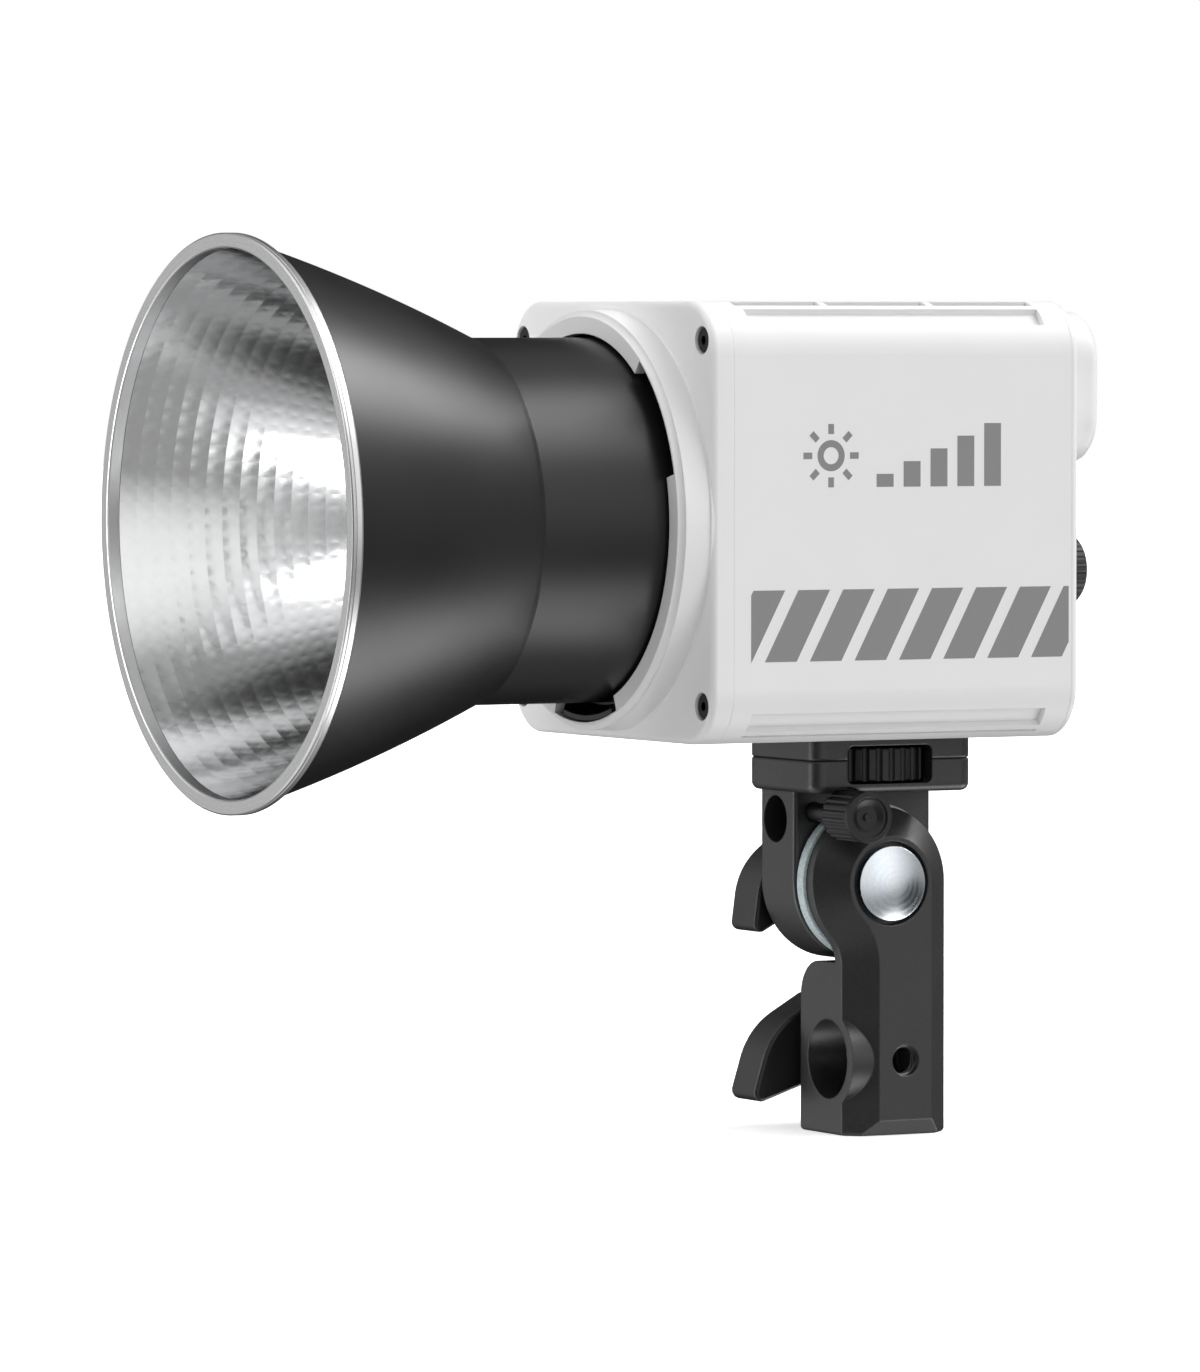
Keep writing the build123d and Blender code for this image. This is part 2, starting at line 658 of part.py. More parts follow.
def make_reflector_collar():
    """The bayonet collar in the neck: a sleeve, a rim with three lugs, and a groove for the latch pin."""
    inner = 34.2
    collar = turned(
        (inner, -16.0), (NECK_RADIUS - SHEET, -16.0), (NECK_RADIUS - SHEET, -6.8),
        (37.2, -6.8), (37.2, -3.8), (inner, -3.8)
    )
    for angle in NOTCH_ANGLES:
        collar += sector((36.0, LUG_RADIUS), (-6.8, -4.2), angle + LOCKED_TURN, LUG_HALF)
    groove_half = LOCKED_TURN / 2 + 5
    groove_centre = LATCH_ANGLE + LOCKED_TURN / 2
    collar -= sector((35.0, 36.8), (-5.5, -3.0), groove_centre, groove_half)
    return collar


# ---------------------------------------------------------------- bracket


def make_foot_plate():
    """The plate screwed under the housing, with half of the thumbwheel's window in its lower side."""
    plate = rounded_plate(PLATE_X, PLATE_Y, FOOT_Z, PLATE_CORNER)
    plate = fillet(edges_at(plate, Axis.Z, FOOT_Z[0]), 0.5)
    plate -= wheel_window()
    plate -= rod("Z", 3.4, FOOT_Z, (0, WHEEL_Y))
    for x, y in foot_screw_places():
        plate -= rod("Z", 1.6, (FOOT_Z[1] - 3.6, FOOT_Z[1] + 1), (x, y + SEAM_Y))
    return plate


def wheel_window():
    """The pocket that the thumbwheel turns in, with a window on both sides of the bracket."""
    window = block((-PLATE_X - 5, PLATE_X + 5), WINDOW_Y, WINDOW_Z)
    window = fillet(window.edges().filter_by(Axis.X), 1.4)
    return window + rod("Z", WHEEL_RADIUS + 0.3, WINDOW_Z, (0, WHEEL_Y))


def make_tilt_arm():
    """The casting that carries the head: a top plate and one flat arm with a round end."""
    plate = rounded_plate(PLATE_X, PLATE_Y, ARM_PLATE_Z, PLATE_CORNER)
    plate = fillet(edges_at(plate, Axis.Z, ARM_PLATE_Z[0]), 1.6)
    plate = fillet(edges_at(plate, Axis.Z, ARM_PLATE_Z[1]), 0.5)
    depth = (TILT_Y - ARM_RADIUS, TILT_Y + ARM_BACK)
    upright = block(ARM_X, (depth[0], TILT_Y + ARM_RADIUS), (TILT_Z, ARM_PLATE_Z[0] + 1.0))
    upright += rod("X", ARM_RADIUS, ARM_X, (TILT_Y, TILT_Z))
    upright &= block(ARM_X, depth, (TILT_Z - ARM_RADIUS, ARM_PLATE_Z[0] + 1.0))
    upright = fillet(edges_at(upright, Axis.X, ARM_X[1]).sort_by(Axis.Z)[:-1], 0.9)
    upright = fillet(edges_at(upright, Axis.X, ARM_X[0]).sort_by(Axis.Z)[:-1], 0.9)
    arm = plate + upright
    arm -= wheel_window()
    arm -= rod("X", BOLT_RADIUS + 0.1, (ARM_X[0] - 1, ARM_X[1] + 1), (TILT_Y, TILT_Z))
    arm -= rod("Y", UMBRELLA_RADIUS, (PLATE_Y[0], PLATE_Y[1]), (UMBRELLA_X, UMBRELLA_Z))
    arm -= rod("X", 2.0, (UMBRELLA_X, ARM_X[1] + 1), UMBRELLA_SCREW)
    arm -= rod("X", SCREW_HEAD_RADIUS + 0.4, (SCREW_HEAD_X[0] - 0.4, PLATE_X + 1), UMBRELLA_SCREW)
    return arm


def make_rosette(x, radius):
    """A friction disc round the tilt bolt, its edge broken by a small chamfer on both sides."""
    disc = rod("X", radius, x, (TILT_Y, TILT_Z))
    disc = chamfer(edges_at(disc, Axis.X, x[0]) + edges_at(disc, Axis.X, x[1]), 0.15)
    return disc - rod("X", BOLT_RADIUS + 0.1, (x[0] - 1, x[1] + 1), (TILT_Y, TILT_Z))


def ear_outline():
    """The adapter seen along X: a round ear whose sides run down into the block, past its foot."""
    blend = 9.0
    foot = -2.6
    ear = Pos(TILT_Y, TILT_Z) * Circle(EAR_RADIUS)
    middle = (BLOCK_Y[0] + BLOCK_Y[1]) / 2
    post = Pos(middle, (foot + TILT_Z) / 2) * Rectangle(BLOCK_Y[1] - BLOCK_Y[0], TILT_Z - foot)
    outline = ear + post
    waist = outline.vertices().sort_by_distance((BLOCK_Y[0], TILT_Z - EAR_RADIUS + 2, 0))[0]
    return fillet(waist, blend)


def make_stand_adapter():
    """The lower casting: an ear on the tilt axis over a block with two crossing stud sockets.

    Its outer side narrows all round, as a draft that a casting has, from the shoulder to the face.
    """
    boss_wall = 2.3
    face = BLOCK_X[1] - EAR_SHOULDER_X
    across = Plane(origin=(EAR_X[0], 0, 0), x_dir=(0, 1, 0), z_dir=(1, 0, 0))
    outline = ear_outline()
    body = extrude(across * outline, EAR_SHOULDER_X - EAR_X[0])
    shoulder_plane = Plane(origin=(EAR_SHOULDER_X, 0, 0), x_dir=(0, 1, 0), z_dir=(1, 0, 0))
    body += extrude(shoulder_plane * outline, face, taper=degrees(atan(EDGE_INSET / face)))
    base = block((BLOCK_X[0], EAR_SHOULDER_X), BLOCK_Y, (-5, BLOCK_TOP))
    top_left = base.edges().filter_by(Axis.Y).group_by(Axis.Z)[-1].sort_by(Axis.X)[0]
    body += fillet(top_left, 7.5)
    body += rod("Y", CROSS_SOCKET_RADIUS + boss_wall, (BLOCK_Y[0], 0), (0, CROSS_Z))
    body -= block((-40, 40), (-40, 40), (-10, 0))
    body = fillet(edges_at(body, Axis.Z, 0), 0.9)
    body -= rod("Z", STAND_SOCKET_RADIUS, (-1, STUD_DEPTH), (0, 0))
    body -= rod("Y", CROSS_SOCKET_RADIUS, (BLOCK_Y[0] - 1, BLOCK_Y[0] + CROSS_DEPTH), (0, CROSS_Z))
    body -= rod("X", SIDE_THREAD_RADIUS, (0, BLOCK_X[1] + 1), (0, CROSS_Z))
    body -= rod("X", LOCK_RADIUS + RUNNING_GAP, (BLOCK_X[0] - 1, 0), (0, CROSS_Z))
    body -= rod("X", BOLT_RADIUS + 0.1, (EAR_X[0] - 1, EAR_X[1]), (TILT_Y, TILT_Z))
    body -= rod("X", CAP_RECESS_RADIUS, (EAR_X[1] - 2.6, EAR_X[1] + 1), (TILT_Y, TILT_Z))
    return body


def make_tilt_bolt():
    """The tilt axle: a domed head in the ear, and a shank that runs to the lever's side."""
    seat = EAR_X[1] - 2.6
    rim = EAR_X[1] + 0.5
    crown = 1.3
    sphere_radius = (CAP_RADIUS**2 + crown**2) / (2 * crown)
    ball = Pos(rim + crown - sphere_radius, TILT_Y, TILT_Z) * Sphere(sphere_radius)
    head = rod("X", CAP_RADIUS, (seat, rim + crown), (TILT_Y, TILT_Z)) & ball
    lever_end = LEVER_X - 9.5
    return head + rod("X", BOLT_RADIUS, (lever_end, seat + 0.1), (TILT_Y, TILT_Z))


def wing_outline(size):
    """A two-winged handle's outline, full size at 1: a round hub and two leaf-shaped wings."""
    hub_radius = 8.2
    corners = ((-2.2, 13.1), (-16.6, 4.8), (-21.4, -10.8))
    rounding = (3.0, 16.0, 1.9)
    wing = make_face(Polyline(*corners, (-4.0, -5.0), (3.0, 3.0), close=True))
    for corner, radius in zip(corners, rounding):
        wing = fillet(wing.vertices().sort_by_distance((*corner, 0))[0], radius)
    outline = Circle(hub_radius) + wing + Rot(0, 0, 180) * wing
    roots = [v for v in outline.vertices() if hypot(v.X, v.Y) < hub_radius + 1.8]
    return scale(fillet(roots, 2.0), size)


def make_wing(inner_x, turn, size, bore):
    """A winged handle on the -X side: a hub boss, then the wings."""
    thickness = 10.8
    boss = 0.8
    inner_face = inner_x - boss
    outer_face = inner_face - thickness
    flat = Plane(origin=(outer_face, 0, 0), x_dir=(0, 1, 0), z_dir=(1, 0, 0))
    handle = extrude(flat * Rot(0, 0, turn) * wing_outline(size), thickness)
    handle = fillet(edges_at(handle, Axis.X, outer_face), 1.2)
    handle = fillet(edges_at(handle, Axis.X, inner_face), 0.8)
    handle += rod("X", 6.4, (inner_face - 0.5, inner_x), (0, 0))
    return handle - rod("X", bore, (outer_face + 2.0, inner_x + 1), (0, 0))


def make_tilt_lever():
    """The winged nut that clamps the tilt joint, on the bolt's far end."""
    wing = make_wing(LEVER_X, TILT_LEVER_TURN, TILT_WING_SIZE, BOLT_RADIUS + RUNNING_GAP)
    return Pos(0, TILT_Y, TILT_Z) * wing


def make_stand_lock():
    """The winged handle of the stand lock screw."""
    return Pos(0, 0, CROSS_Z) * make_wing(LOCK_WING_X, STAND_LOCK_TURN, STAND_WING_SIZE, LOCK_RADIUS)


def make_stand_lock_screw():
    """The stand lock's screw, drawn back until its point is just clear of the stud bores."""
    return rod("X", LOCK_RADIUS, (-22.0, -CROSS_SOCKET_RADIUS - 0.5), (0, CROSS_Z))


def washer(radius, bore, x, centre):
    """A flat washer about the X axis."""
    return rod("X", radius, x, centre) - rod("X", bore, (x[0] - 1, x[1] + 1), centre)


def make_umbrella_screw():
    """The ribbed screw that clamps an umbrella shaft, its tip just clear of the hole."""
    ribs = 22
    dish_radius = 4.1
    screw = rod("X", SCREW_HEAD_RADIUS, SCREW_HEAD_X, UMBRELLA_SCREW)
    reach = SCREW_HEAD_RADIUS + 0.15
    for index in range(ribs):
        angle = radians(360 / ribs * index)
        place = (UMBRELLA_SCREW[0] + reach * cos(angle), UMBRELLA_SCREW[1] + reach * sin(angle))
        screw -= rod("X", 0.46, (SCREW_HEAD_X[0] - 1, SCREW_HEAD_X[1] - 1.4), place)
    screw -= rod("X", dish_radius, (SCREW_HEAD_X[1] - 0.5, SCREW_HEAD_X[1] + 1), UMBRELLA_SCREW)
    dish = Plane(origin=(SCREW_HEAD_X[1] - 0.45, *UMBRELLA_SCREW), z_dir=(-1, 0, 0))
    screw -= extrude(dish * Circle(dish_radius - 0.5), 0.9, taper=55)
    screw += rod("X", 0.75, (SCREW_HEAD_X[1] - 2, SCREW_HEAD_X[1] - 0.8), UMBRELLA_SCREW)
    screw += rod("X", 2.9, (SCREW_HEAD_X[0] - 1.6, SCREW_HEAD_X[0] + 0.1), UMBRELLA_SCREW)
    tip = UMBRELLA_X + UMBRELLA_RADIUS + 0.2
    return screw + rod("X", 1.9, (tip, SCREW_HEAD_X[0] + 1), UMBRELLA_SCREW)


def make_thumbwheel():
    """The grooved wheel that screws the bracket to the lamp."""
    z = (WINDOW_Z[0] + 0.4, WINDOW_Z[1] - 0.6)
    ribs = 30
    wheel = rod("Z", WHEEL_RADIUS, z, (0, WHEEL_Y))
    wheel = fillet(edges_at(wheel, Axis.Z, z[0]) + edges_at(wheel, Axis.Z, z[1]), 0.5)
    for index in range(ribs):
        angle = radians(360 / ribs * index)
        place = ((WHEEL_RADIUS + 0.2) * cos(angle), WHEEL_Y + (WHEEL_RADIUS + 0.2) * sin(angle))
        wheel -= rod("Z", 0.75, (z[0] - 1, z[1] + 1), place)
    return wheel - rod("Z", STUD_THREAD, (z[0] + 2.0, z[1] + 1), (0, WHEEL_Y))


def make_wheel_stud():
    """The thumbwheel's stud, which screws into the bush in the housing's floor."""
    base = WINDOW_Z[0] + 0.4
    return rod("Z", STUD_THREAD, (base + 2.0, OPTICAL_AXIS_Z - BODY_HEIGHT / 2 + 4.8), (0, WHEEL_Y))


def make_bush():
    """The flanged brass bush in the housing's floor, threaded for a standard stud."""
    floor = OPTICAL_AXIS_Z - BODY_HEIGHT / 2
    bush = rod("Z", 5.0, (floor, floor + 5.4), (0, WHEEL_Y))
    bush += rod("Z", 7.0, (floor + WALL, floor + WALL + 1.6), (0, WHEEL_Y))
    return bush - rod("Z", STUD_THREAD + RUNNING_GAP, (floor - 1, floor + 7), (0, WHEEL_Y))


def make_foot_screws():
    """Four screws from inside the housing down into the foot plate."""
    floor = -BODY_HEIGHT / 2 + WALL
    screws = []
    for place in foot_screw_places():
        head = rod("Z", 2.8, (floor, floor + 1.4), place)
        screws.append(head + rod("Z", 1.5, (floor - 5.6, floor + 0.1), place))
    return screws


def make_lamp_screws():
    """The two screws that clamp the lamp holder to the heat sink."""
    screws = []
    for side in (-1, 1):
        place = (side * LAMP_SCREW_X, 0)
        screws.append(rod("Y", 2.4, (0.4, 2.0), place) + rod("Y", 1.4, (1.9, 9.5), place))
    return screws


def make_capacitors():
    """Three round capacitors standing on the driver board."""
    places = [(10, 22), (10, 33), (20, 27)]
    return [rod("Z", 4.5, (DRIVER_TOP, DRIVER_TOP + 10.4), place) for place in places]


def make_standoffs():
    """The driver board's standoffs, on the housing's floor."""
    floor = -BODY_HEIGHT / 2 + WALL
    return [rod("Z", 2.4, (floor, DRIVER_FLOOR), place) for place in standoff_places()]


def on_head(*solids):
    """Solids drawn about the head's origin, carried to their place as one group."""
    return Compound([HEAD * solid for solid in solids])


def at_knob(solid, side):
    """A solid drawn on a knob's axis, carried to the left (-1) or right (1) knob."""
    return HEAD * Pos(side * KNOB_X, 0, CONTROL_Z) * solid


PIECES = {
    "housing_sleeve": on_head(make_housing()),
    "front_bezel": on_head(make_bezel()),
    "bezel_screws": on_head(*[button_head_screw(FACE_Y + 0.4, 1, p, 12.0) for p in corners(*CASE_SCREW)]),
    "mount_ring": on_head(make_mount_ring()),
    "release_latch": on_head(make_latch()),
    "latch_pin": on_head(latch_pin(LATCH_PIN_RADIUS, (-4.9, 0.5))),
    "lamp_holder": on_head(make_lamp_holder()),
    "lamp_glass": on_head(rod("Y", GLASS_RADIUS, (-0.4, GLASS_BACK), (0, 0))),
    "led_board": on_head(make_led_board()),
    "led_emitter": on_head(rod("Y", EMITTER_RADIUS, (LED_FACE - 0.7, LED_FACE), (0, 0))),
    "lamp_screws": on_head(*make_lamp_screws()),
    "heat_sink": on_head(make_heat_sink()),
    "fan_frame": on_head(make_fan_frame()),
    "fan_rotor": on_head(make_fan_rotor()),
    "fan_screws": on_head(*make_fan_screws()),
    "driver_board": on_head(make_driver_board()),
    "driver_transformer": on_head(make_driver_parts()),
    "driver_capacitors": on_head(*make_capacitors()),
    "board_standoffs": on_head(*make_standoffs()),
    "control_board": on_head(block((-34, 34), (BOARD_FACE - 1.6, BOARD_FACE), (-19, 7))),
    "tact_switches": on_head(*make_tact_switches()),
    "rear_cover": on_head(make_rear_cover()),
    "rear_screws": on_head(*[button_head_screw(BODY_DEPTH, -1, p, 11.0) for p in corners(*CASE_SCREW)]),
    "display_pod": on_head(make_display_pod()),
    "display_window": on_head(make_display_window()),
    "display_panel": on_head(prism(Rectangle(48.0, 21.0), (82.6, POD_END - 3.2), 0, POD_Z)),
    "rocker_frame": on_head(make_rocker_frame()),
    "power_rocker": on_head(make_rocker()),
    "dc_inlet": on_head(make_dc_inlet()),
    "usb_port": on_head(make_usb_port()),
    "brightness_knob": at_knob(make_knob(), 1),
    "brightness_shaft": at_knob(make_knob_shaft(), 1),
    "brightness_encoder": at_knob(make_encoder(), 1),
    "colour_knob": at_knob(make_knob(), -1),
    "colour_shaft": at_knob(make_knob_shaft(), -1),
    "colour_encoder": at_knob(make_encoder(), -1),
    "mode_button": on_head(make_button(button_places()[0])),
    "effect_button": on_head(make_button(button_places()[1])),
    "group_button": on_head(make_button(button_places()[2])),
    "reflector_shell": on_head(make_reflector_shell()),
    "reflector_liner": on_head(make_reflector_liner()),
    "reflector_collar": on_head(make_reflector_collar()),
    "foot_plate": make_foot_plate(),
    "foot_screws": on_head(*make_foot_screws()),
    "threaded_bush": make_bush(),
    "tilt_arm": make_tilt_arm(),
    "upper_rosette": make_rosette(ROSETTE_X[:2], ROSETTE_RADIUS - 1.2),
    "lower_rosette": make_rosette(ROSETTE_X[1:], ROSETTE_RADIUS),
    "stand_adapter": make_stand_adapter(),
    "tilt_bolt": make_tilt_bolt(),
    "tilt_washer": washer(8.2, BOLT_RADIUS + 0.1, (LEVER_X, ARM_X[0]), (TILT_Y, TILT_Z)),
    "tilt_lever": make_tilt_lever(),
    "stand_lock_handle": make_stand_lock(),
    "stand_lock_screw": make_stand_lock_screw(),
    "stand_lock_washer": washer(8.2, LOCK_RADIUS + RUNNING_GAP, (LOCK_WING_X, BLOCK_X[0]), (0, CROSS_Z)),
    "umbrella_screw": make_umbrella_screw(),
    "thumbwheel": make_thumbwheel(),
    "thumbwheel_stud": make_wheel_stud(),
}

os.makedirs("parts", exist_ok=True)
for name, piece in PIECES.items():
    export_step(piece, f"parts/{name}.step")
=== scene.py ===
"""Looks for the COB LED monolight: camera, studio, materials and the detailed pieces.

Sizes below are millimetres in the lamp head's own frame (Y behind the bezel joint, the optical axis
at X 0, Z 0) or in the part's frame; everything is turned to metres when it is made.
"""

import math
import random

import bmesh
import bpy
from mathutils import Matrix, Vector


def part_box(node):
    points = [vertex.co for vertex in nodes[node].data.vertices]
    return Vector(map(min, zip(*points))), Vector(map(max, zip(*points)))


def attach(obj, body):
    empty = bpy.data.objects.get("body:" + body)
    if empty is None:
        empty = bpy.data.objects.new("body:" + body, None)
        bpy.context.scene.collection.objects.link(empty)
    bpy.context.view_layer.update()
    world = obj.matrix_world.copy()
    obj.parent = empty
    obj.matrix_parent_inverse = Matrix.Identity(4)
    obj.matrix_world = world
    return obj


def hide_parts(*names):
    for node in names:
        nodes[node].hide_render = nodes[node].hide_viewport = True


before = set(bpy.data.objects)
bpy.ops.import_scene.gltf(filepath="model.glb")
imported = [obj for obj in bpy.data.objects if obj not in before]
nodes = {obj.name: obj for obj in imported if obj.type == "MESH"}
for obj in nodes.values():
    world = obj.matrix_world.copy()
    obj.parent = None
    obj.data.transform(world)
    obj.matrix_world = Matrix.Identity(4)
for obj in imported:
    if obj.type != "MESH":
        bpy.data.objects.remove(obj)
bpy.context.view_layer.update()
scene = bpy.context.scene
MM = 0.001

# The head's own frame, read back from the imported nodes
sleeve_low, sleeve_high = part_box("housing_sleeve")
shell_low, shell_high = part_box("reflector_shell")
adapter_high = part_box("stand_adapter")[1]
SEAM_Y = sleeve_low.y / MM
AXIS_Z = (shell_low.z + shell_high.z) / 2 / MM
SIDE_X = sleeve_high.x / MM
RIM_RADIUS = (shell_high.x - shell_low.x) / 2 / MM
RIM_Y = shell_low.y / MM - SEAM_Y
ADAPTER_FACE = adapter_high.x / MM

# Heights and places of the bracket's axes in the part's frame
CROSS_Z = 15.4
TILT_AXIS = (-3.4, 51.7)
BUSH_Y = -4.7


def head(x, y, z):
    """A point of the head's frame in metres."""
    return Vector((x * MM, (y + SEAM_Y) * MM, (z + AXIS_Z) * MM))


# ------------------------------------------------------------------ camera


def make_camera():
    """The photograph's view: low, from the front right, through a long lens."""
    data = bpy.data.cameras.new("camera")
    data.lens = 237.7
    data.sensor_width = 36.0
    data.clip_start = 0.05
    data.clip_end = 60
    camera = bpy.data.objects.new("camera", data)
    place = Vector((1.60989, -0.91994, 0.16526))
    aim = Vector((0.0, -0.06467, 0.09268))
    camera.location = place
    camera.rotation_euler = (aim - place).to_track_quat("-Z", "Y").to_euler()
    scene.collection.objects.link(camera)
    scene.camera = camera


# ------------------------------------------------------------------ node helpers


class Tree:
    """A short way to write a node tree."""

    def __init__(self, tree):
        self.tree = tree
        self.column = 0

    def node(self, kind, inputs=None, **settings):
        made = self.tree.nodes.new(kind)
        self.column += 1
        made.location = (self.column * 180, 0)
        for key, value in settings.items():
            setattr(made, key, value)
        for key, value in (inputs or {}).items():
            self.feed(value, made.inputs[key])
        return made

    def feed(self, value, socket):
        """Links a socket's output, or sets a plain value, on an input."""
        if isinstance(value, bpy.types.NodeSocket):
            self.tree.links.new(value, socket)
        else:
            socket.default_value = value

    def math(self, operation, a, b=0.0):
        return self.node("ShaderNodeMath", {0: a, 1: b}, operation=operation).outputs[0]

    def vector(self, operation, a, b=(0.0, 0.0, 0.0), output="Vector"):
        return self.node("ShaderNodeVectorMath", {0: a, 1: b}, operation=operation).outputs[output]

    def ramp(self, value, low, high, out_low=0.0, out_high=1.0):
        """A smooth step from out_low at low to out_high at high."""
        made = self.node(
            "ShaderNodeMapRange",
            {"Value": value, "From Min": low, "From Max": high, "To Min": out_low, "To Max": out_high},
            interpolation_type="SMOOTHSTEP",
        )
        return made.outputs["Result"]

    def place(self):
        """The point on the piece, in the part's own metres."""
        return self.node("ShaderNodeTexCoord").outputs["Object"]

    def noise(self, vector, size, detail=2.0, roughness=0.5):
        """Noise whose lumps are about size millimetres across."""
        made = self.node(
            "ShaderNodeTexNoise",
            {"Vector": vector, "Scale": 1000.0 / size, "Detail": detail, "Roughness": roughness},
        )
        return made.outputs["Fac"]

    def cells(self, vector, size, output):
        """A cellular pattern whose cells are about size millimetres across."""
        made = self.node("ShaderNodeTexVoronoi", {"Vector": vector, "Scale": 1000.0 / size})
        return made.outputs[output]

    def stretch(self, vector, scale):
        return self.node("ShaderNodeMapping", {"Vector": vector, "Scale": scale}).outputs[0]

    def mix(self, factor, a, b):
        made = self.node("ShaderNodeMix", data_type="RGBA")
        for key, value in ((0, factor), (6, a), (7, b)):
            self.feed(value, made.inputs[key])
        return made.outputs[2]


def rgb(red, green=None, blue=None):
    """A colour from one grey or three numbers."""
    if green is None:
        green = blue = red
    return (red, green, blue, 1.0)


def scaled(colour, share):
    """A colour made darker or lighter by a share."""
    return tuple(c * share for c in colour[:3]) + (1.0,)


def start(name):
    """A new material, its tree writer and its principled shader."""
    material = bpy.data.materials.new(name)
    material.use_nodes = True
    tree = Tree(material.node_tree)
    shader = material.node_tree.nodes["Principled BSDF"]
    return material, tree, shader


def bumps(tree, shader, layers, rounding=0.0):
    """Height layers of (height socket, depth in millimetres) on top of rounded edges."""
    normal = None
    if rounding:
        normal = tree.node("ShaderNodeBevel", {"Radius": rounding * MM}, samples=6).outputs[0]
    for height, depth in layers:
        inputs = {"Height": height, "Strength": 1.0, "Distance": depth * MM}
        if normal is not None:
            inputs["Normal"] = normal
        normal = tree.node("ShaderNodeBump", inputs).outputs[0]
    if normal is not None:
        tree.tree.links.new(normal, shader.inputs["Normal"])


def plastic(name, colour, rough, grain=0.35, depth=0.006, shade=0.03, rounding=0.25, spread=0.06):
    """Moulded plastic: spark-eroded grain, a faint cloudiness and uneven gloss."""
    material, tree, shader = start(name)
    place = tree.place()
    cloud = tree.noise(place, 14.0, 3.0)
    fine = tree.noise(place, grain, 3.0, 0.6)
    shift = tree.ramp(cloud, 0.3, 0.7)
    darker = scaled(colour, 1 - shade)
    tree.tree.links.new(tree.mix(shift, darker, colour), shader.inputs["Base Color"])
    gloss = tree.ramp(fine, 0.3, 0.7, rough - spread / 2, rough + spread / 2)
    tree.tree.links.new(gloss, shader.inputs["Roughness"])
    bumps(tree, shader, [(fine, depth), (cloud, 0.01)], rounding)
    shader.inputs["IOR"].default_value = 1.5
    return material


def powder_coat(name, colour, rough=0.4, rounding=0.5):
    """Fine textured powder coat: tiny rounded grains, with a paler colour painted on a few of them as painted
    glints.
    """
    material, tree, shader = start(name)
    place = tree.place()
    grain = tree.noise(place, 0.34, 2.0, 0.5)
    finer = tree.noise(place, 0.16, 2.0, 0.5)
    patch = tree.noise(place, 11.0, 3.0)
    deep = scaled(colour, 0.6)
    # Painted glints: a paler colour put on a few grains to stand in for the light that they catch
    painted_glint_colour = tuple(min(1.0, c * 1.9 + 0.01) for c in colour[:3]) + (1.0,)
    base = tree.mix(tree.ramp(grain, 0.32, 0.68), deep, colour)
    base = tree.mix(tree.ramp(finer, 0.58, 0.74, 0.0, 0.8), base, painted_glint_colour)
    tree.tree.links.new(base, shader.inputs["Base Color"])
    uneven = tree.ramp(patch, 0.3, 0.7, -0.02, 0.02)
    gloss = tree.math("ADD", tree.ramp(finer, 0.3, 0.7, rough - 0.06, rough + 0.06), uneven)
    tree.tree.links.new(gloss, shader.inputs["Roughness"])
    shader.inputs["Specular IOR Level"].default_value = 0.75
    bumps(tree, shader, [(grain, 0.013), (finer, 0.005)], rounding)
    return material


def satin_paint(name, colour, rough, rounding=0.15):
    """Smooth satin paint on sheet metal: very fine orange peel and dust-fine grain."""
    material, tree, shader = start(name)
    place = tree.place()
    peel = tree.noise(place, 1.6, 2.0)
    fine = tree.noise(place, 0.16, 2.0, 0.6)
    cloud = tree.noise(place, 22.0, 3.0)
    deep = scaled(colour, 0.82)
    tree.tree.links.new(tree.mix(tree.ramp(cloud, 0.3, 0.7), deep, colour), shader.inputs["Base Color"])
    uneven = tree.ramp(cloud, 0.3, 0.7, rough, rough + 0.03)
    gloss = tree.math("ADD", tree.ramp(fine, 0.3, 0.7, -0.03, 0.03), uneven)
    tree.tree.links.new(gloss, shader.inputs["Roughness"])
    bumps(tree, shader, [(peel, 0.002), (fine, 0.0012)], rounding)
    return material


def metal(
    name, colour, rough, along=(1, 1, 1), size=0.5, depth=0.002, spread=0.08, shade=0.12, rounding=0.12,
    bare=1.0,
):
    """Bare or plated metal; along stretches its grain, as brushing does, and bare is its metallic share."""
    material, tree, shader = start(name)
    place = tree.stretch(tree.place(), along)
    grain = tree.noise(place, size, 4.0, 0.6)
    cloud = tree.noise(tree.place(), 6.0, 3.0)
    deep = scaled(colour, 1 - shade)
    tree.tree.links.new(tree.mix(tree.ramp(grain, 0.3, 0.7), deep, colour), shader.inputs["Base Color"])
    uneven = tree.ramp(cloud, 0.3, 0.7, -0.02, 0.03)
    gloss = tree.math("ADD", tree.ramp(grain, 0.3, 0.7, rough - spread / 2, rough + spread / 2), uneven)
    tree.tree.links.new(gloss, shader.inputs["Roughness"])
    shader.inputs["Metallic"].default_value = bare
    bumps(tree, shader, [(grain, depth)], rounding)
    return material


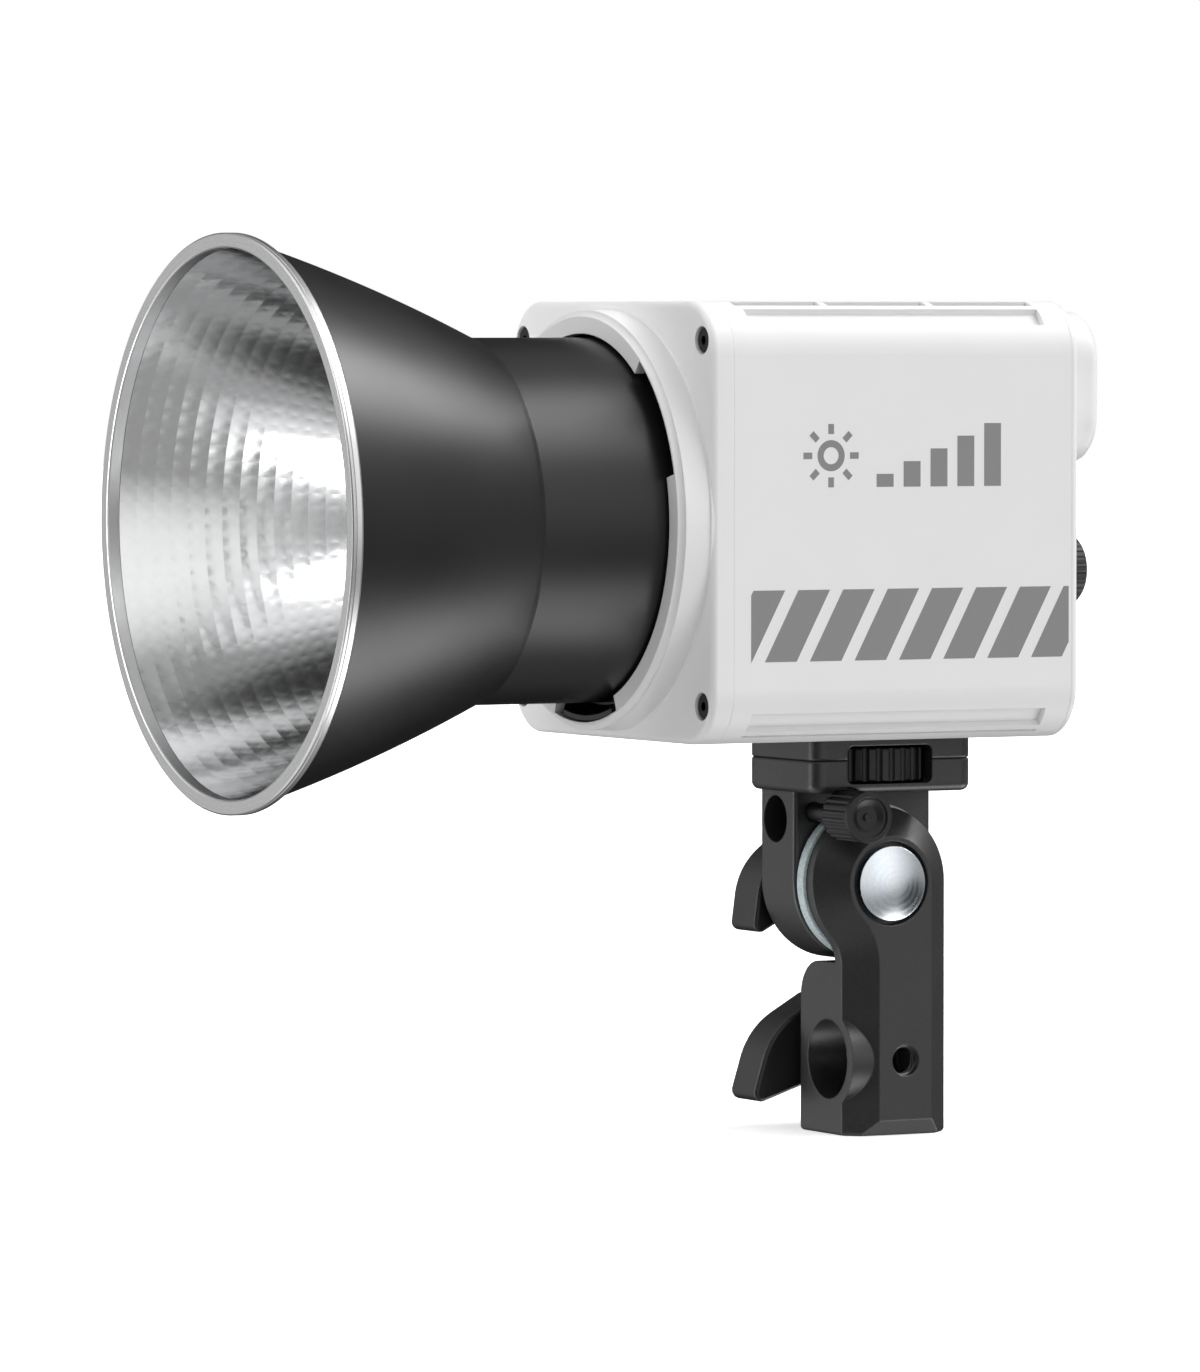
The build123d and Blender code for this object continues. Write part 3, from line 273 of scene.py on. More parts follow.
def turned_metal(name, colour, rough, axis, centre, pitch=0.12, depth=0.0015, tint=None):
    """Metal with fine lathe rings about an axis through centre (metres)."""
    material, tree, shader = start(name)
    place = tree.place()
    flat = [1.0, 1.0, 1.0]
    flat["XYZ".index(axis)] = 0.0
    flattened = tree.vector("MULTIPLY", tree.vector("SUBTRACT", place, centre), flat)
    radius = tree.vector("LENGTH", flattened, output="Value")
    wobble = tree.noise(place, 3.0, 2.0)
    phase = tree.math("MULTIPLY", radius, 1000.0 / pitch)
    phase = tree.math("ADD", phase, tree.math("MULTIPLY", wobble, 4.0))
    rings = tree.math("SINE", phase)
    fine = tree.noise(place, 0.2, 2.0)
    deep = scaled(colour, 0.9)
    base = tree.mix(tree.ramp(fine, 0.3, 0.7), deep, colour)
    if tint is not None:
        base = tree.mix(tree.math("MULTIPLY", tree.ramp(wobble, 0.45, 0.75), 0.5), base, tint)
    tree.tree.links.new(base, shader.inputs["Base Color"])
    tree.tree.links.new(tree.ramp(rings, -1, 1, rough - 0.03, rough + 0.03), shader.inputs["Roughness"])
    shader.inputs["Metallic"].default_value = 1.0
    bumps(tree, shader, [(rings, depth), (fine, 0.0008)], 0.15)
    return material


# ------------------------------------------------------------------ the materials


WHITE_CASE = plastic(
    "white_case_abs", rgb(0.80, 0.80, 0.805), 0.46, grain=0.3, depth=0.004, shade=0.012, rounding=0.3
)
WHITE_PARTS = plastic(
    "white_parts_abs", rgb(0.78, 0.78, 0.782), 0.4, grain=0.24, depth=0.003, shade=0.015, rounding=0.3
)
WHITE_CERAMIC = plastic(
    "white_ceramic", rgb(0.80, 0.79, 0.76), 0.32, grain=0.15, depth=0.002, shade=0.03, rounding=0.1
)
BLACK_PLASTIC = plastic(
    "black_plastic", rgb(0.012), 0.42, grain=0.28, depth=0.006, shade=0.3, rounding=0.3, spread=0.1
)
WING_PLASTIC = plastic(
    "wing_satin", rgb(0.014), 0.34, grain=0.5, depth=0.006, shade=0.25, rounding=0.5, spread=0.08
)
ROCKER_BLACK = plastic(
    "rocker_gloss", rgb(0.016), 0.2, grain=0.6, depth=0.002, shade=0.2, rounding=0.3, spread=0.04
)
CASTING = powder_coat("black_powder_coat", rgb(0.020, 0.020, 0.0205))
SHEET_BLACK = satin_paint("satin_black_paint", rgb(0.008, 0.008, 0.0084), 0.34)
RING_BLACK = satin_paint("anodised_black", rgb(0.007, 0.007, 0.0075), 0.42)
BARE_ALUMINIUM = metal(
    "machined_aluminium", rgb(0.66, 0.67, 0.68), 0.34, along=(0.2, 1, 1), size=0.4, depth=0.004
)
ZINC = metal(
    "zinc_plate", rgb(0.66, 0.77, 0.79), 0.46, size=0.45, depth=0.010, spread=0.16, shade=0.30, bare=0.35
)
BRIGHT_STEEL = metal("plated_steel", rgb(0.62, 0.63, 0.65), 0.3, size=0.5, depth=0.003)
THREAD_METAL = metal("cut_thread", rgb(0.10, 0.10, 0.105), 0.32, size=0.3, depth=0.004, shade=0.4)
BLACK_STEEL = metal("black_oxide_steel", rgb(0.035, 0.035, 0.037), 0.38, size=0.3, depth=0.004, shade=0.3)
BRASS = turned_metal("turned_brass", rgb(0.78, 0.58, 0.27), 0.3, "Z", (0, BUSH_Y * MM, 0))
CAP_STEEL = turned_metal(
    "polished_cap", rgb(0.84, 0.89, 0.93), 0.21, "X", (0, TILT_AXIS[0] * MM, TILT_AXIS[1] * MM), pitch=0.2,
    depth=0.0004, tint=rgb(0.74, 0.83, 0.92),
)
RIM_METAL = turned_metal(
    "rim_aluminium", rgb(0.72, 0.72, 0.72), 0.3, "Y", (0, 0, AXIS_Z * MM), pitch=0.16, depth=0.001
)
FACET_METAL = metal(
    "bright_facets", rgb(0.93, 0.935, 0.94), 0.11, size=2.2, depth=0.003, spread=0.04, shade=0.03,
    rounding=0.0,
)


def make_glass(name, colour, rough, tinted=0.0):
    """Clear or tinted glass with faint smears in its gloss."""
    material, tree, shader = start(name)
    smear = tree.noise(tree.place(), 9.0, 4.0)
    tree.tree.links.new(tree.ramp(smear, 0.35, 0.75, rough, rough + 0.05), shader.inputs["Roughness"])
    deep = scaled(colour, 1 - tinted)
    tree.tree.links.new(tree.mix(tree.ramp(smear, 0.3, 0.7), deep, colour), shader.inputs["Base Color"])
    shader.inputs["Transmission Weight"].default_value = 1.0
    shader.inputs["IOR"].default_value = 1.5
    return material


def make_phosphor():
    """The LED's phosphor: a warm yellow resin with fine particles in it."""
    material, tree, shader = start("led_phosphor_layer")
    place = tree.place()
    grain = tree.noise(place, 0.18, 3.0, 0.7)
    cloud = tree.noise(place, 2.5, 2.0)
    base = tree.mix(tree.ramp(grain, 0.3, 0.7), rgb(0.80, 0.56, 0.08), rgb(0.93, 0.74, 0.20))
    base = tree.mix(tree.ramp(cloud, 0.4, 0.8, 0.0, 0.4), base, rgb(0.95, 0.82, 0.32))
    tree.tree.links.new(base, shader.inputs["Base Color"])
    tree.tree.links.new(tree.ramp(grain, 0.2, 0.8, 0.32, 0.5), shader.inputs["Roughness"])
    shader.inputs["Coat Weight"].default_value = 0.5
    shader.inputs["Coat Roughness"].default_value = 0.15
    bumps(tree, shader, [(grain, 0.01)])
    return material


def make_board(name, mask_colour, trace_colour):
    """A solder-masked board: raised traces under the mask and bright pads."""
    material, tree, shader = start(name)
    place = tree.place()
    brick = tree.node(
        "ShaderNodeTexBrick",
        {
            "Vector": place, "Scale": 260.0, "Mortar Size": 0.03,
            "Color1": rgb(0), "Color2": rgb(0.2), "Mortar": rgb(1),
        },
    ).outputs["Color"]
    pads = tree.ramp(tree.cells(place, 3.4, "Distance"), 0.16, 0.12)
    base = tree.mix(brick, mask_colour, trace_colour)
    base = tree.mix(pads, base, rgb(0.62, 0.60, 0.55))
    tree.tree.links.new(base, shader.inputs["Base Color"])
    tree.tree.links.new(tree.ramp(pads, 0, 1, 0.32, 0.22), shader.inputs["Roughness"])
    tree.tree.links.new(pads, shader.inputs["Metallic"])
    bumps(tree, shader, [(brick, 0.02), (pads, 0.03)])
    return material


def make_ink(name, colour):
    """Screen-printed ink: a little rougher than the plastic, with pinholes in its cover."""
    material, tree, shader = start(name)
    place = tree.place()
    mesh_print = tree.noise(place, 0.22, 2.0, 0.6)
    cloud = tree.noise(place, 7.0, 2.0)
    deep = scaled(colour, 0.93)
    base = tree.mix(tree.ramp(mesh_print, 0.35, 0.65), deep, colour)
    base = tree.mix(tree.ramp(cloud, 0.5, 0.8, 0.0, 0.25), base, scaled(colour, 1.05))
    tree.tree.links.new(base, shader.inputs["Base Color"])
    tree.tree.links.new(tree.ramp(mesh_print, 0.3, 0.7, 0.45, 0.58), shader.inputs["Roughness"])
    bumps(tree, shader, [(mesh_print, 0.003)])
    return material


def make_display():
    """The display behind its window: a dark panel with a fine pixel grid."""
    material, tree, shader = start("display_panel_face")
    place = tree.place()
    grid = tree.cells(tree.stretch(place, (1.0, 0.0, 1.0)), 0.32, "Distance")
    base = tree.mix(tree.ramp(grid, 0.1, 0.5), rgb(0.010, 0.016, 0.020), rgb(0.004, 0.006, 0.008))
    tree.tree.links.new(base, shader.inputs["Base Color"])
    tree.tree.links.new(tree.ramp(grid, 0.0, 0.6, 0.25, 0.4), shader.inputs["Roughness"])
    return material


def make_lit(name, colour, strength):
    """A lit display mark, each of its pixels a little brighter in the middle."""
    material, tree, shader = start(name)
    place = tree.place()
    grid = tree.cells(place, 0.32, "Distance")
    lit = tree.mix(tree.ramp(grid, 0.1, 0.6), colour, scaled(colour, 0.6))
    tree.tree.links.new(lit, shader.inputs["Emission Color"])
    tree.tree.links.new(lit, shader.inputs["Base Color"])
    tree.tree.links.new(tree.ramp(grid, 0.0, 0.6, 0.3, 0.5), shader.inputs["Roughness"])
    shader.inputs["Emission Strength"].default_value = strength
    return material


LAMP_GLASS = make_glass("lamp_window_glass", rgb(0.97, 0.98, 0.98), 0.02)
DISPLAY_GLASS = make_glass("display_window_glass", rgb(0.42, 0.44, 0.47), 0.04, tinted=0.1)
PHOSPHOR = make_phosphor()
BOARD = make_board("green_board", rgb(0.012, 0.085, 0.045), rgb(0.025, 0.14, 0.075))
STRIPE_INK = make_ink("grey_ink", rgb(0.245, 0.245, 0.250))
WHITE_INK = make_ink("white_ink", rgb(0.74, 0.74, 0.74))
DARK_INK = make_ink("dark_ink", rgb(0.06, 0.06, 0.062))
DISPLAY = make_display()
LIT_WHITE = make_lit("lit_white", rgb(0.85, 0.93, 1.0), 0.9)
LIT_TEAL = make_lit("lit_teal", rgb(0.10, 0.62, 0.66), 0.9)
LIT_AMBER = make_lit("lit_amber", rgb(0.95, 0.52, 0.10), 0.9)
TRANSFORMER = plastic("ferrite", rgb(0.04, 0.038, 0.036), 0.6, grain=0.6, depth=0.02, shade=0.3, rounding=0.3)
CAPACITOR = plastic(
    "capacitor_sleeve", rgb(0.03, 0.035, 0.09), 0.3, grain=1.2, depth=0.004, shade=0.2, rounding=0.4
)

# Each finish, and the CAD nodes that have it
FINISHES = (
    (WHITE_CASE, ("housing_sleeve", "front_bezel")),
    (WHITE_PARTS, ("rear_cover", "display_pod")),
    (WHITE_CERAMIC, ("lamp_holder", "led_board")),
    (PHOSPHOR, ("led_emitter",)),
    (LAMP_GLASS, ("lamp_glass",)),
    (DISPLAY_GLASS, ("display_window",)),
    (DISPLAY, ("display_panel",)),
    (RING_BLACK, ("mount_ring", "reflector_collar")),
    (SHEET_BLACK, ("reflector_shell",)),
    (FACET_METAL, ("reflector_liner",)),
    (BARE_ALUMINIUM, ("heat_sink", "brightness_shaft", "colour_shaft")),
    (BLACK_PLASTIC, ("release_latch", "fan_frame", "fan_rotor", "tact_switches", "brightness_knob")),
    (BLACK_PLASTIC, ("colour_knob", "mode_button", "effect_button", "group_button", "rocker_frame")),
    (BLACK_PLASTIC, ("dc_inlet", "umbrella_screw", "thumbwheel")),
    (ROCKER_BLACK, ("power_rocker",)),
    (BRIGHT_STEEL, ("latch_pin", "fan_screws", "lamp_screws", "foot_screws", "usb_port", "tilt_washer")),
    (BRIGHT_STEEL, ("brightness_encoder", "colour_encoder", "thumbwheel_stud")),
    (BRIGHT_STEEL, ("stand_lock_washer", "stand_lock_screw")),
    (BLACK_STEEL, ("bezel_screws", "rear_screws")),
    (BOARD, ("driver_board", "control_board")),
    (TRANSFORMER, ("driver_transformer",)),
    (CAPACITOR, ("driver_capacitors",)),
    (BRASS, ("board_standoffs", "threaded_bush")),
    (CASTING, ("foot_plate", "tilt_arm", "stand_adapter")),
    (ZINC, ("upper_rosette", "lower_rosette")),
    (CAP_STEEL, ("tilt_bolt",)),
    (WING_PLASTIC, ("tilt_lever", "stand_lock_handle")),
)


def finish_nodes():
    """Gives every CAD node its material."""
    finish_of = {name: material for material, names in FINISHES for name in names}
    for name, node in nodes.items():
        node.data.materials.clear()
        node.data.materials.append(finish_of[name])


# ------------------------------------------------------------------ mesh helpers


def add_mesh(name, points, faces, materials, face_materials=None, smooth=True, angle=35.0):
    """A mesh object from points in metres, smooth but for edges sharper than angle."""
    mesh = bpy.data.meshes.new(name)
    mesh.from_pydata([tuple(p) for p in points], [], faces)
    for material in materials:
        mesh.materials.append(material)
    if face_materials is not None:
        mesh.polygons.foreach_set("material_index", face_materials)
    made = bpy.data.objects.new(name, mesh)
    scene.collection.objects.link(made)
    if smooth:
        mesh.polygons.foreach_set("use_smooth", [True] * len(mesh.polygons))
        mesh.update()
        mark_sharp(mesh, math.radians(angle))
    mesh.update()
    return made


def mark_sharp(mesh, limit):
    """Marks the edges that turn by more than limit."""
    work = bmesh.new()
    work.from_mesh(mesh)
    for edge in work.edges:
        if len(edge.link_faces) == 2 and edge.calc_face_angle(0.0) > limit:
            edge.smooth = False
    work.to_mesh(mesh)
    work.free()


def lathe(name, profile, materials, steps):
    """A surface turned about the optical axis from (radius, y, material index) points, closed into a ring."""
    points, faces, chosen = [], [], []
    count = len(profile)
    for step in range(steps):
        angle = 2 * math.pi * step / steps
        for radius, y, _ in profile:
            points.append(head(radius * math.cos(angle), y, radius * math.sin(angle)))
    for step in range(steps):
        here = step * count
        there = (step + 1) % steps * count
        for index in range(count):
            following = (index + 1) % count
            faces.append((here + index, here + following, there + following, there + index))
            chosen.append(profile[index][2])
    return add_mesh(name, points, faces, materials, chosen, angle=20.0)


def arc_through(a, b, c, count):
    """Points along the circle through three (radius, y) points, from a to c."""
    ax, ay = a
    bx, by = b
    cx, cy = c
    d = 2 * (ax * (by - cy) + bx * (cy - ay) + cx * (ay - by))
    ux = ((ax**2 + ay**2) * (by - cy) + (bx**2 + by**2) * (cy - ay) + (cx**2 + cy**2) * (ay - by)) / d
    uy = ((ax**2 + ay**2) * (cx - bx) + (bx**2 + by**2) * (ax - cx) + (cx**2 + cy**2) * (bx - ax)) / d
    radius = math.hypot(ax - ux, ay - uy)
    first = math.atan2(ay - uy, ax - ux)
    last = math.atan2(cy - uy, cx - ux)
    while last - first > math.pi:
        last -= 2 * math.pi
    while first - last > math.pi:
        last += 2 * math.pi
    angles = [first + (last - first) * k / count for k in range(count + 1)]
    return [(ux + radius * math.cos(angle), uy + radius * math.sin(angle)) for angle in angles]


# ------------------------------------------------------------------ reflector

NECK_RADIUS = 36.7
NECK_FRONT = -39.6
BELL_END = (55.9, -88.5)
BELL_MIDDLE = (47.0, -62.6)
SHEET = 1.0
LINER = 0.5


def bell(offset, count):
    """The bowl's curve, drawn in by offset, from neck to rim."""
    return arc_through(
        (NECK_RADIUS + 0.5 - offset, NECK_FRONT), (BELL_MIDDLE[0] - offset, BELL_MIDDLE[1]),
        (BELL_END[0] - offset, BELL_END[1]), count,
    )


def make_bowl():
    """The pressed bowl: painted outside, with a bare machined lip that ends in a small bead."""
    paint, bare = 0, 1
    neck_end = -6.8
    lip_back = -88.7
    lip_inner = 54.4
    profile = [(NECK_RADIUS, neck_end, paint), (NECK_RADIUS, NECK_FRONT + 0.9, paint)]
    profile += [(NECK_RADIUS + 0.18, NECK_FRONT + 0.45, paint)]
    profile += [(r, y, paint) for r, y in bell(0, 48)[:-1]]
    profile += [(BELL_END[0], BELL_END[1], paint), (RIM_RADIUS - 1.0, lip_back, bare)]
    profile += [(RIM_RADIUS - 0.35, lip_back - 0.12, bare), (RIM_RADIUS, lip_back - 0.55, bare)]
    profile += [(RIM_RADIUS, RIM_Y + 0.95, bare), (RIM_RADIUS - 0.12, RIM_Y + 0.85, bare)]
    profile += [(RIM_RADIUS - 0.12, RIM_Y + 0.65, bare), (RIM_RADIUS, RIM_Y + 0.55, bare)]
    profile += [(RIM_RADIUS, RIM_Y + 0.28, bare), (RIM_RADIUS - 0.3, RIM_Y, bare)]
    profile += [(lip_inner + 0.35, RIM_Y, bare), (lip_inner + 0.1, RIM_Y + 0.14, bare)]
    profile += [(lip_inner, RIM_Y + 0.4, bare)]
    profile += [(BELL_END[0] - SHEET - LINER, BELL_END[1] - 0.05, bare)]
    profile += [(BELL_END[0] - SHEET, BELL_END[1], paint)]
    profile += [(r, y, paint) for r, y in reversed(bell(SHEET, 16)[:-1])]
    profile += [(NECK_RADIUS - SHEET, NECK_FRONT + 0.6, paint), (NECK_RADIUS - SHEET, neck_end, paint)]
    bowl = lathe("reflector_bowl", profile, [SHEET_BLACK, RIM_METAL], steps=288)
    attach(bowl, "reflector")
    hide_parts("reflector_shell")


def make_facets():
    """The bright liner: rows of small dished facets, each a hair off true, down the neck and the bowl."""
    columns = 100
    neck_rows, bell_rows = 6, 15
    neck_start, neck_length = -16.2, 22.6
    grid = 4
    dish = 0.048
    tilt = 0.010
    chance = random.Random(7)
    offset = SHEET + LINER
    rows = [(NECK_RADIUS - offset, neck_start - neck_length * k / neck_rows) for k in range(neck_rows + 1)]
    rows += bell(offset, bell_rows)
    half = math.pi / columns
    points, faces = [], []
    for row, (low, high) in enumerate(zip(rows, rows[1:])):
        rise = (high[0] - low[0], high[1] - low[1])
        length = math.hypot(*rise)
        out = (abs(rise[1]) / length, rise[0] / length)
        depth_here = 0.0 if row == neck_rows else dish
        for column in range(columns):
            base = len(points)
            tilt_u = chance.uniform(-tilt, tilt)
            tilt_v = chance.uniform(-tilt, tilt)
            for j in range(grid + 1):
                v = j / grid
                for i in range(grid + 1):
                    u = i / grid
                    lift = depth_here * (1 - (2 * u - 1) ** 2) * (1 - (2 * v - 1) ** 2)
                    lift += tilt_u * (u - 0.5) + tilt_v * (v - 0.5)
                    radius = low[0] + rise[0] * v + out[0] * lift
                    y = low[1] + rise[1] * v + out[1] * lift
                    angle = 2 * math.pi * (column + u) / columns
                    if 0 < i < grid:
                        radius *= math.cos(half) / math.cos(half * (2 * u - 1))
                    points.append(head(radius * math.cos(angle), y, radius * math.sin(angle)))
            for j in range(grid):
                for i in range(grid):
                    a = base + j * (grid + 1) + i
                    faces.append((a, a + grid + 1, a + grid + 2, a + 1))
    facets = add_mesh("reflector_facets", points, faces, [FACET_METAL], angle=80.0)
    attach(facets, "reflector")
    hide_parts("reflector_liner")


# ------------------------------------------------------------------ printed marks


def print_shapes(name, shapes, plane, material, body, thickness=0.02):
    """Flat polygons of ink; plane turns (u, v, lift) millimetres into a point."""
    points, faces = [], []
    for shape in shapes:
        base = len(points)
        count = len(shape)
        points += [plane(u, v, thickness) for u, v in shape]
        points += [plane(u, v, 0.0) for u, v in shape]
        faces.append(tuple(range(base, base + count)))
        for k in range(count):
            after = (k + 1) % count
            faces.append((base + k, base + count + k, base + count + after, base + after))
    made = add_mesh(name, points, faces, [material], smooth=False)
    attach(made, body)
    return made


def side_plane(side):
    """The housing's flat side: u runs back from the bezel joint, v up from the optical axis."""
    return lambda u, v, lift: head(side * (SIDE_X + lift), u, v)


# The printed band's two ends, and the plane about which the output mark is mirrored for the other side
BAND_ENDS = (3.9, 77.0)
MARK_MIDDLE = 42.0


def stripe_band():
    """The leaning stripes, cut off square at both ends of the band."""
    low, high = -27.5, -13.3
    width, pitch, lean = 7.2, 10.2, 7.6
    first_foot = -3.2
    shapes = []
    for index in range(9):
        foot = first_foot + index * pitch
        corners = [(foot, low), (foot + width, low), (foot + width + lean, high), (foot + lean, high)]
        shapes.append(clip(corners, BAND_ENDS))
    return [shape for shape in shapes if len(shape) > 2]


def clip(corners, ends):
    """A polygon cut to the band between two u values."""
    for limit, keep in zip(ends, (1, -1)):
        kept = []
        for k, (u, v) in enumerate(corners):
            after = corners[(k + 1) % len(corners)]
            inside = (u - limit) * keep >= 0
            inside_after = (after[0] - limit) * keep >= 0
            if inside:
                kept.append((u, v))
            if inside != inside_after:
                share = (limit - u) / (after[0] - u)
                kept.append((limit, v + (after[1] - v) * share))
        corners = kept
        if not corners:
            return []
    return corners


def polar(u, v, radius, degrees):
    """The point at a radius and an angle about (u, v)."""
    angle = math.radians(degrees)
    return (u + radius * math.cos(angle), v + radius * math.sin(angle))


def ring_shape(u, v, outer, inner, steps=48):
    """A ring as a strip of four-sided pieces."""
    shapes = []
    for k in range(steps):
        a = 360.0 * k / steps
        b = 360.0 * (k + 1) / steps
        corners = ((inner, a), (outer, a), (outer, b), (inner, b))
        shapes.append([polar(u, v, radius, turn) for radius, turn in corners])
    return shapes


def box_shape(left, low, right, high):
    """An upright rectangle."""
    return [(left, low), (right, low), (right, high), (left, high)]


def bar_shape(start_point, end_point, width):
    """A straight bar between two points."""
    (u0, v0), (u1, v1) = start_point, end_point
    length = math.hypot(u1 - u0, v1 - v0)
    du, dv = (v1 - v0) / length * width / 2, -(u1 - u0) / length * width / 2
    return [(u0 + du, v0 + dv), (u1 + du, v1 + dv), (u1 - du, v1 - dv), (u0 - du, v0 - dv)]


def output_mark():
    """A plain light symbol with five growing bars beside it."""
    u, v = 22.0, 13.3
    rays = 8
    ray_inner, ray_outer, ray_width = 4.3, 6.3, 1.3
    bars_left, bars_low = 32.4, 7.0
    bar_width, bar_pitch = 3.9, 6.2
    shortest, growth = 2.6, 2.5
    shapes = ring_shape(u, v, 3.1, 1.7)
    for k in range(rays):
        turn = 360 / rays * k
        shapes.append(bar_shape(polar(u, v, ray_inner, turn), polar(u, v, ray_outer, turn), ray_width))
    for k in range(5):
        left = bars_left + k * bar_pitch
        shapes.append(box_shape(left, bars_low, left + bar_width, bars_low + shortest + k * growth))
    return shapes


def make_side_prints():
    """The grey prints on both sides of the housing."""
    for side, word in ((1, "right"), (-1, "left")):
        plane = side_plane(side)
        band = stripe_band()
        mark = output_mark()
        if side < 0:
            band = [[(sum(BAND_ENDS) - u, v) for u, v in shape] for shape in band]
            mark = [[(2 * MARK_MIDDLE - u, v) for u, v in shape] for shape in mark]
        print_shapes(f"stripes_{word}", band, plane, STRIPE_INK, "lamp_head")
        print_shapes(f"output_mark_{word}", mark, plane, STRIPE_INK, "lamp_head")


# ------------------------------------------------------------------ rear face


# The lit segments of each figure that the display shows
SEGMENTS = {"0": "abcdef", "1": "bc", "5": "afgcd", "6": "afgedc"}


def digit_shapes(text, u, v, height):
    """Seven-segment figures, leaning a little."""
    width = height * 0.5
    stroke = height * 0.13
    gap = height * 0.03
    lean = 0.1
    shapes = []
    for place, figure in enumerate(text):
        left = u + place * (width + stroke * 1.5)
        top, middle, bottom = v + height, v + height / 2, v
        right = left + width
        ends = {
            "a": (left, top, right, top),
            "b": (right, top, right, middle),
            "c": (right, middle, right, bottom),
            "d": (left, bottom, right, bottom),
            "e": (left, bottom, left, middle),
            "f": (left, middle, left, top),
            "g": (left, middle, right, middle),
        }
        for segment in SEGMENTS[figure]:
            u0, v0, u1, v1 = ends[segment]
            length = math.hypot(u1 - u0, v1 - v0)
            du, dv = (u1 - u0) / length, (v1 - v0) / length
            a, b = gap, length - gap
            half = stroke / 2
            there = ((a, 0), (a + half, half), (b - half, half))
            back = ((b, 0), (b - half, -half), (a + half, -half))
            line = [(u0 + du * on - dv * aside, v0 + dv * on + du * aside) for on, aside in there + back]
            shapes.append([(x + (z - v) * lean, z) for x, z in line])
    return shapes


def make_display_marks():
    """What the display shows: figures for output and colour, and their level bars."""
    panel_low, panel_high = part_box("display_panel")
    face = panel_high.y / MM
    centre = (panel_low.z + panel_high.z) / 2 / MM

    def plane(u, v, lift):
        return Vector((-u * MM, (face + lift) * MM, (centre + v) * MM))

    left_half, right_half = -20.5, 3.6
    dash_pitch, dash_width = 1.0, 0.7
    output = digit_shapes("100", left_half, -2.2, 8.4)
    colour = digit_shapes("5600", right_half, 0.6, 5.2)
    dashes = []
    for k in range(20):
        left = left_half + k * dash_pitch
        dashes.append(box_shape(left, -6.6, left + dash_width, -4.6))
    track = [box_shape(right_half, -5.9, 20.0, -5.3), box_shape(13.2, -7.0, 14.4, -4.2)]
    rules = [box_shape(1.4, -7.6, 1.7, 7.6), box_shape(-21.0, 7.9, 21.0, 8.15)]
    marks = (
        ("display_output", output, LIT_WHITE),
        ("display_colour", colour, LIT_AMBER),
        ("display_output_bar", dashes, LIT_TEAL),
        ("display_colour_bar", track, LIT_AMBER),
        ("display_rules", rules, LIT_TEAL),
    )
    for name, shapes, material in marks:
        print_shapes(name, shapes, plane, material, "lamp_head", 0.03)


def rear_place(name):
    """A rear node's middle in the rear print's u and v."""
    low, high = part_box(name)
    return -(low.x + high.x) / 2 / MM, (low.z + high.z) / 2 / MM - AXIS_Z


def button_symbols():
    """Three lines, a flash and three rings, above the three buttons."""
    above = 5.9
    shapes = []
    u, v = rear_place("mode_button")
    for k in range(3):
        low = v + above - 0.9 + k * 0.8
        shapes.append(box_shape(u - 1.5, low, u + 1.5, low + 0.35))
    u, v = rear_place("effect_button")
    v += above
    shapes.append([(u - 0.2, v + 1.2), (u + 0.9, v + 1.2), (u + 0.2, v + 0.1), (u - 0.5, v + 0.1)])
    shapes.append([(u - 0.1, v + 0.35), (u + 0.8, v + 0.35), (u - 0.7, v - 1.2)])
    u, v = rear_place("group_button")
    for k in range(3):
        shapes += ring_shape(u - 1.3 + 1.3 * k, v + above - 0.2, 0.5, 0.22, steps=16)
    return shapes


def make_rear_prints():
    """The dials' ticks and the buttons' symbols."""
    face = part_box("rear_cover")[1].y / MM
    tick_inner, tick_outer, long_outer = 8.5, 9.9, 10.5
    tick_count, first_turn, turn_step = 11, 225, 27

    def plane(u, v, lift):
        return Vector((-u * MM, (face + lift) * MM, (AXIS_Z + v) * MM))

    ticks = []
    for knob in ("brightness_knob", "colour_knob"):
        u, v = rear_place(knob)
        for k in range(tick_count):
            turn = first_turn - turn_step * k
            outer = tick_outer if k % 5 else long_outer
            ticks.append(bar_shape(polar(u, v, tick_inner, turn), polar(u, v, outer, turn), 0.45))
    print_shapes("dial_ticks", ticks, plane, DARK_INK, "lamp_head")
    print_shapes("button_symbols", button_symbols(), plane, DARK_INK, "lamp_head")


def make_rocker_marks():
    """The rocker's on and off marks, one on each of its slopes."""
    low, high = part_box("power_rocker")
    x = (low.x + high.x) / 2
    z = (low.z + high.z) / 2
    mark_drop = 2.6
    mesh = nodes["power_rocker"].data
    marks = (
        (-1, "rocker_off_mark", ring_shape(0, 0, 1.15, 0.75, steps=32)),
        (1, "rocker_on_mark", [box_shape(-0.22, -1.1, 0.22, 1.1)]),
    )
    for sign, name, shapes in marks:
        slopes = [face for face in mesh.polygons if face.normal.y > 0.9 and face.normal.z * sign < -0.05]
        if not slopes:
            continue
        slope = max(slopes, key=lambda face: face.area)
        normal = slope.normal.copy()
        point = mesh.vertices[slope.vertices[0]].co.copy()
        up = (Vector((0, 0, 1)) - normal * normal.z).normalized()
        right = up.cross(normal)
        middle_z = z - sign * mark_drop * MM
        rise = (middle_z - point.z) * normal.z + (x - point.x) * normal.x
        centre = Vector((x, point.y - rise / normal.y, middle_z))

        def plane(u, v, lift):
            return centre + right * u * MM + up * v * MM + normal * lift * MM

        print_shapes(name, shapes, plane, WHITE_INK, "power_rocker")


# ------------------------------------------------------------------ bracket detail


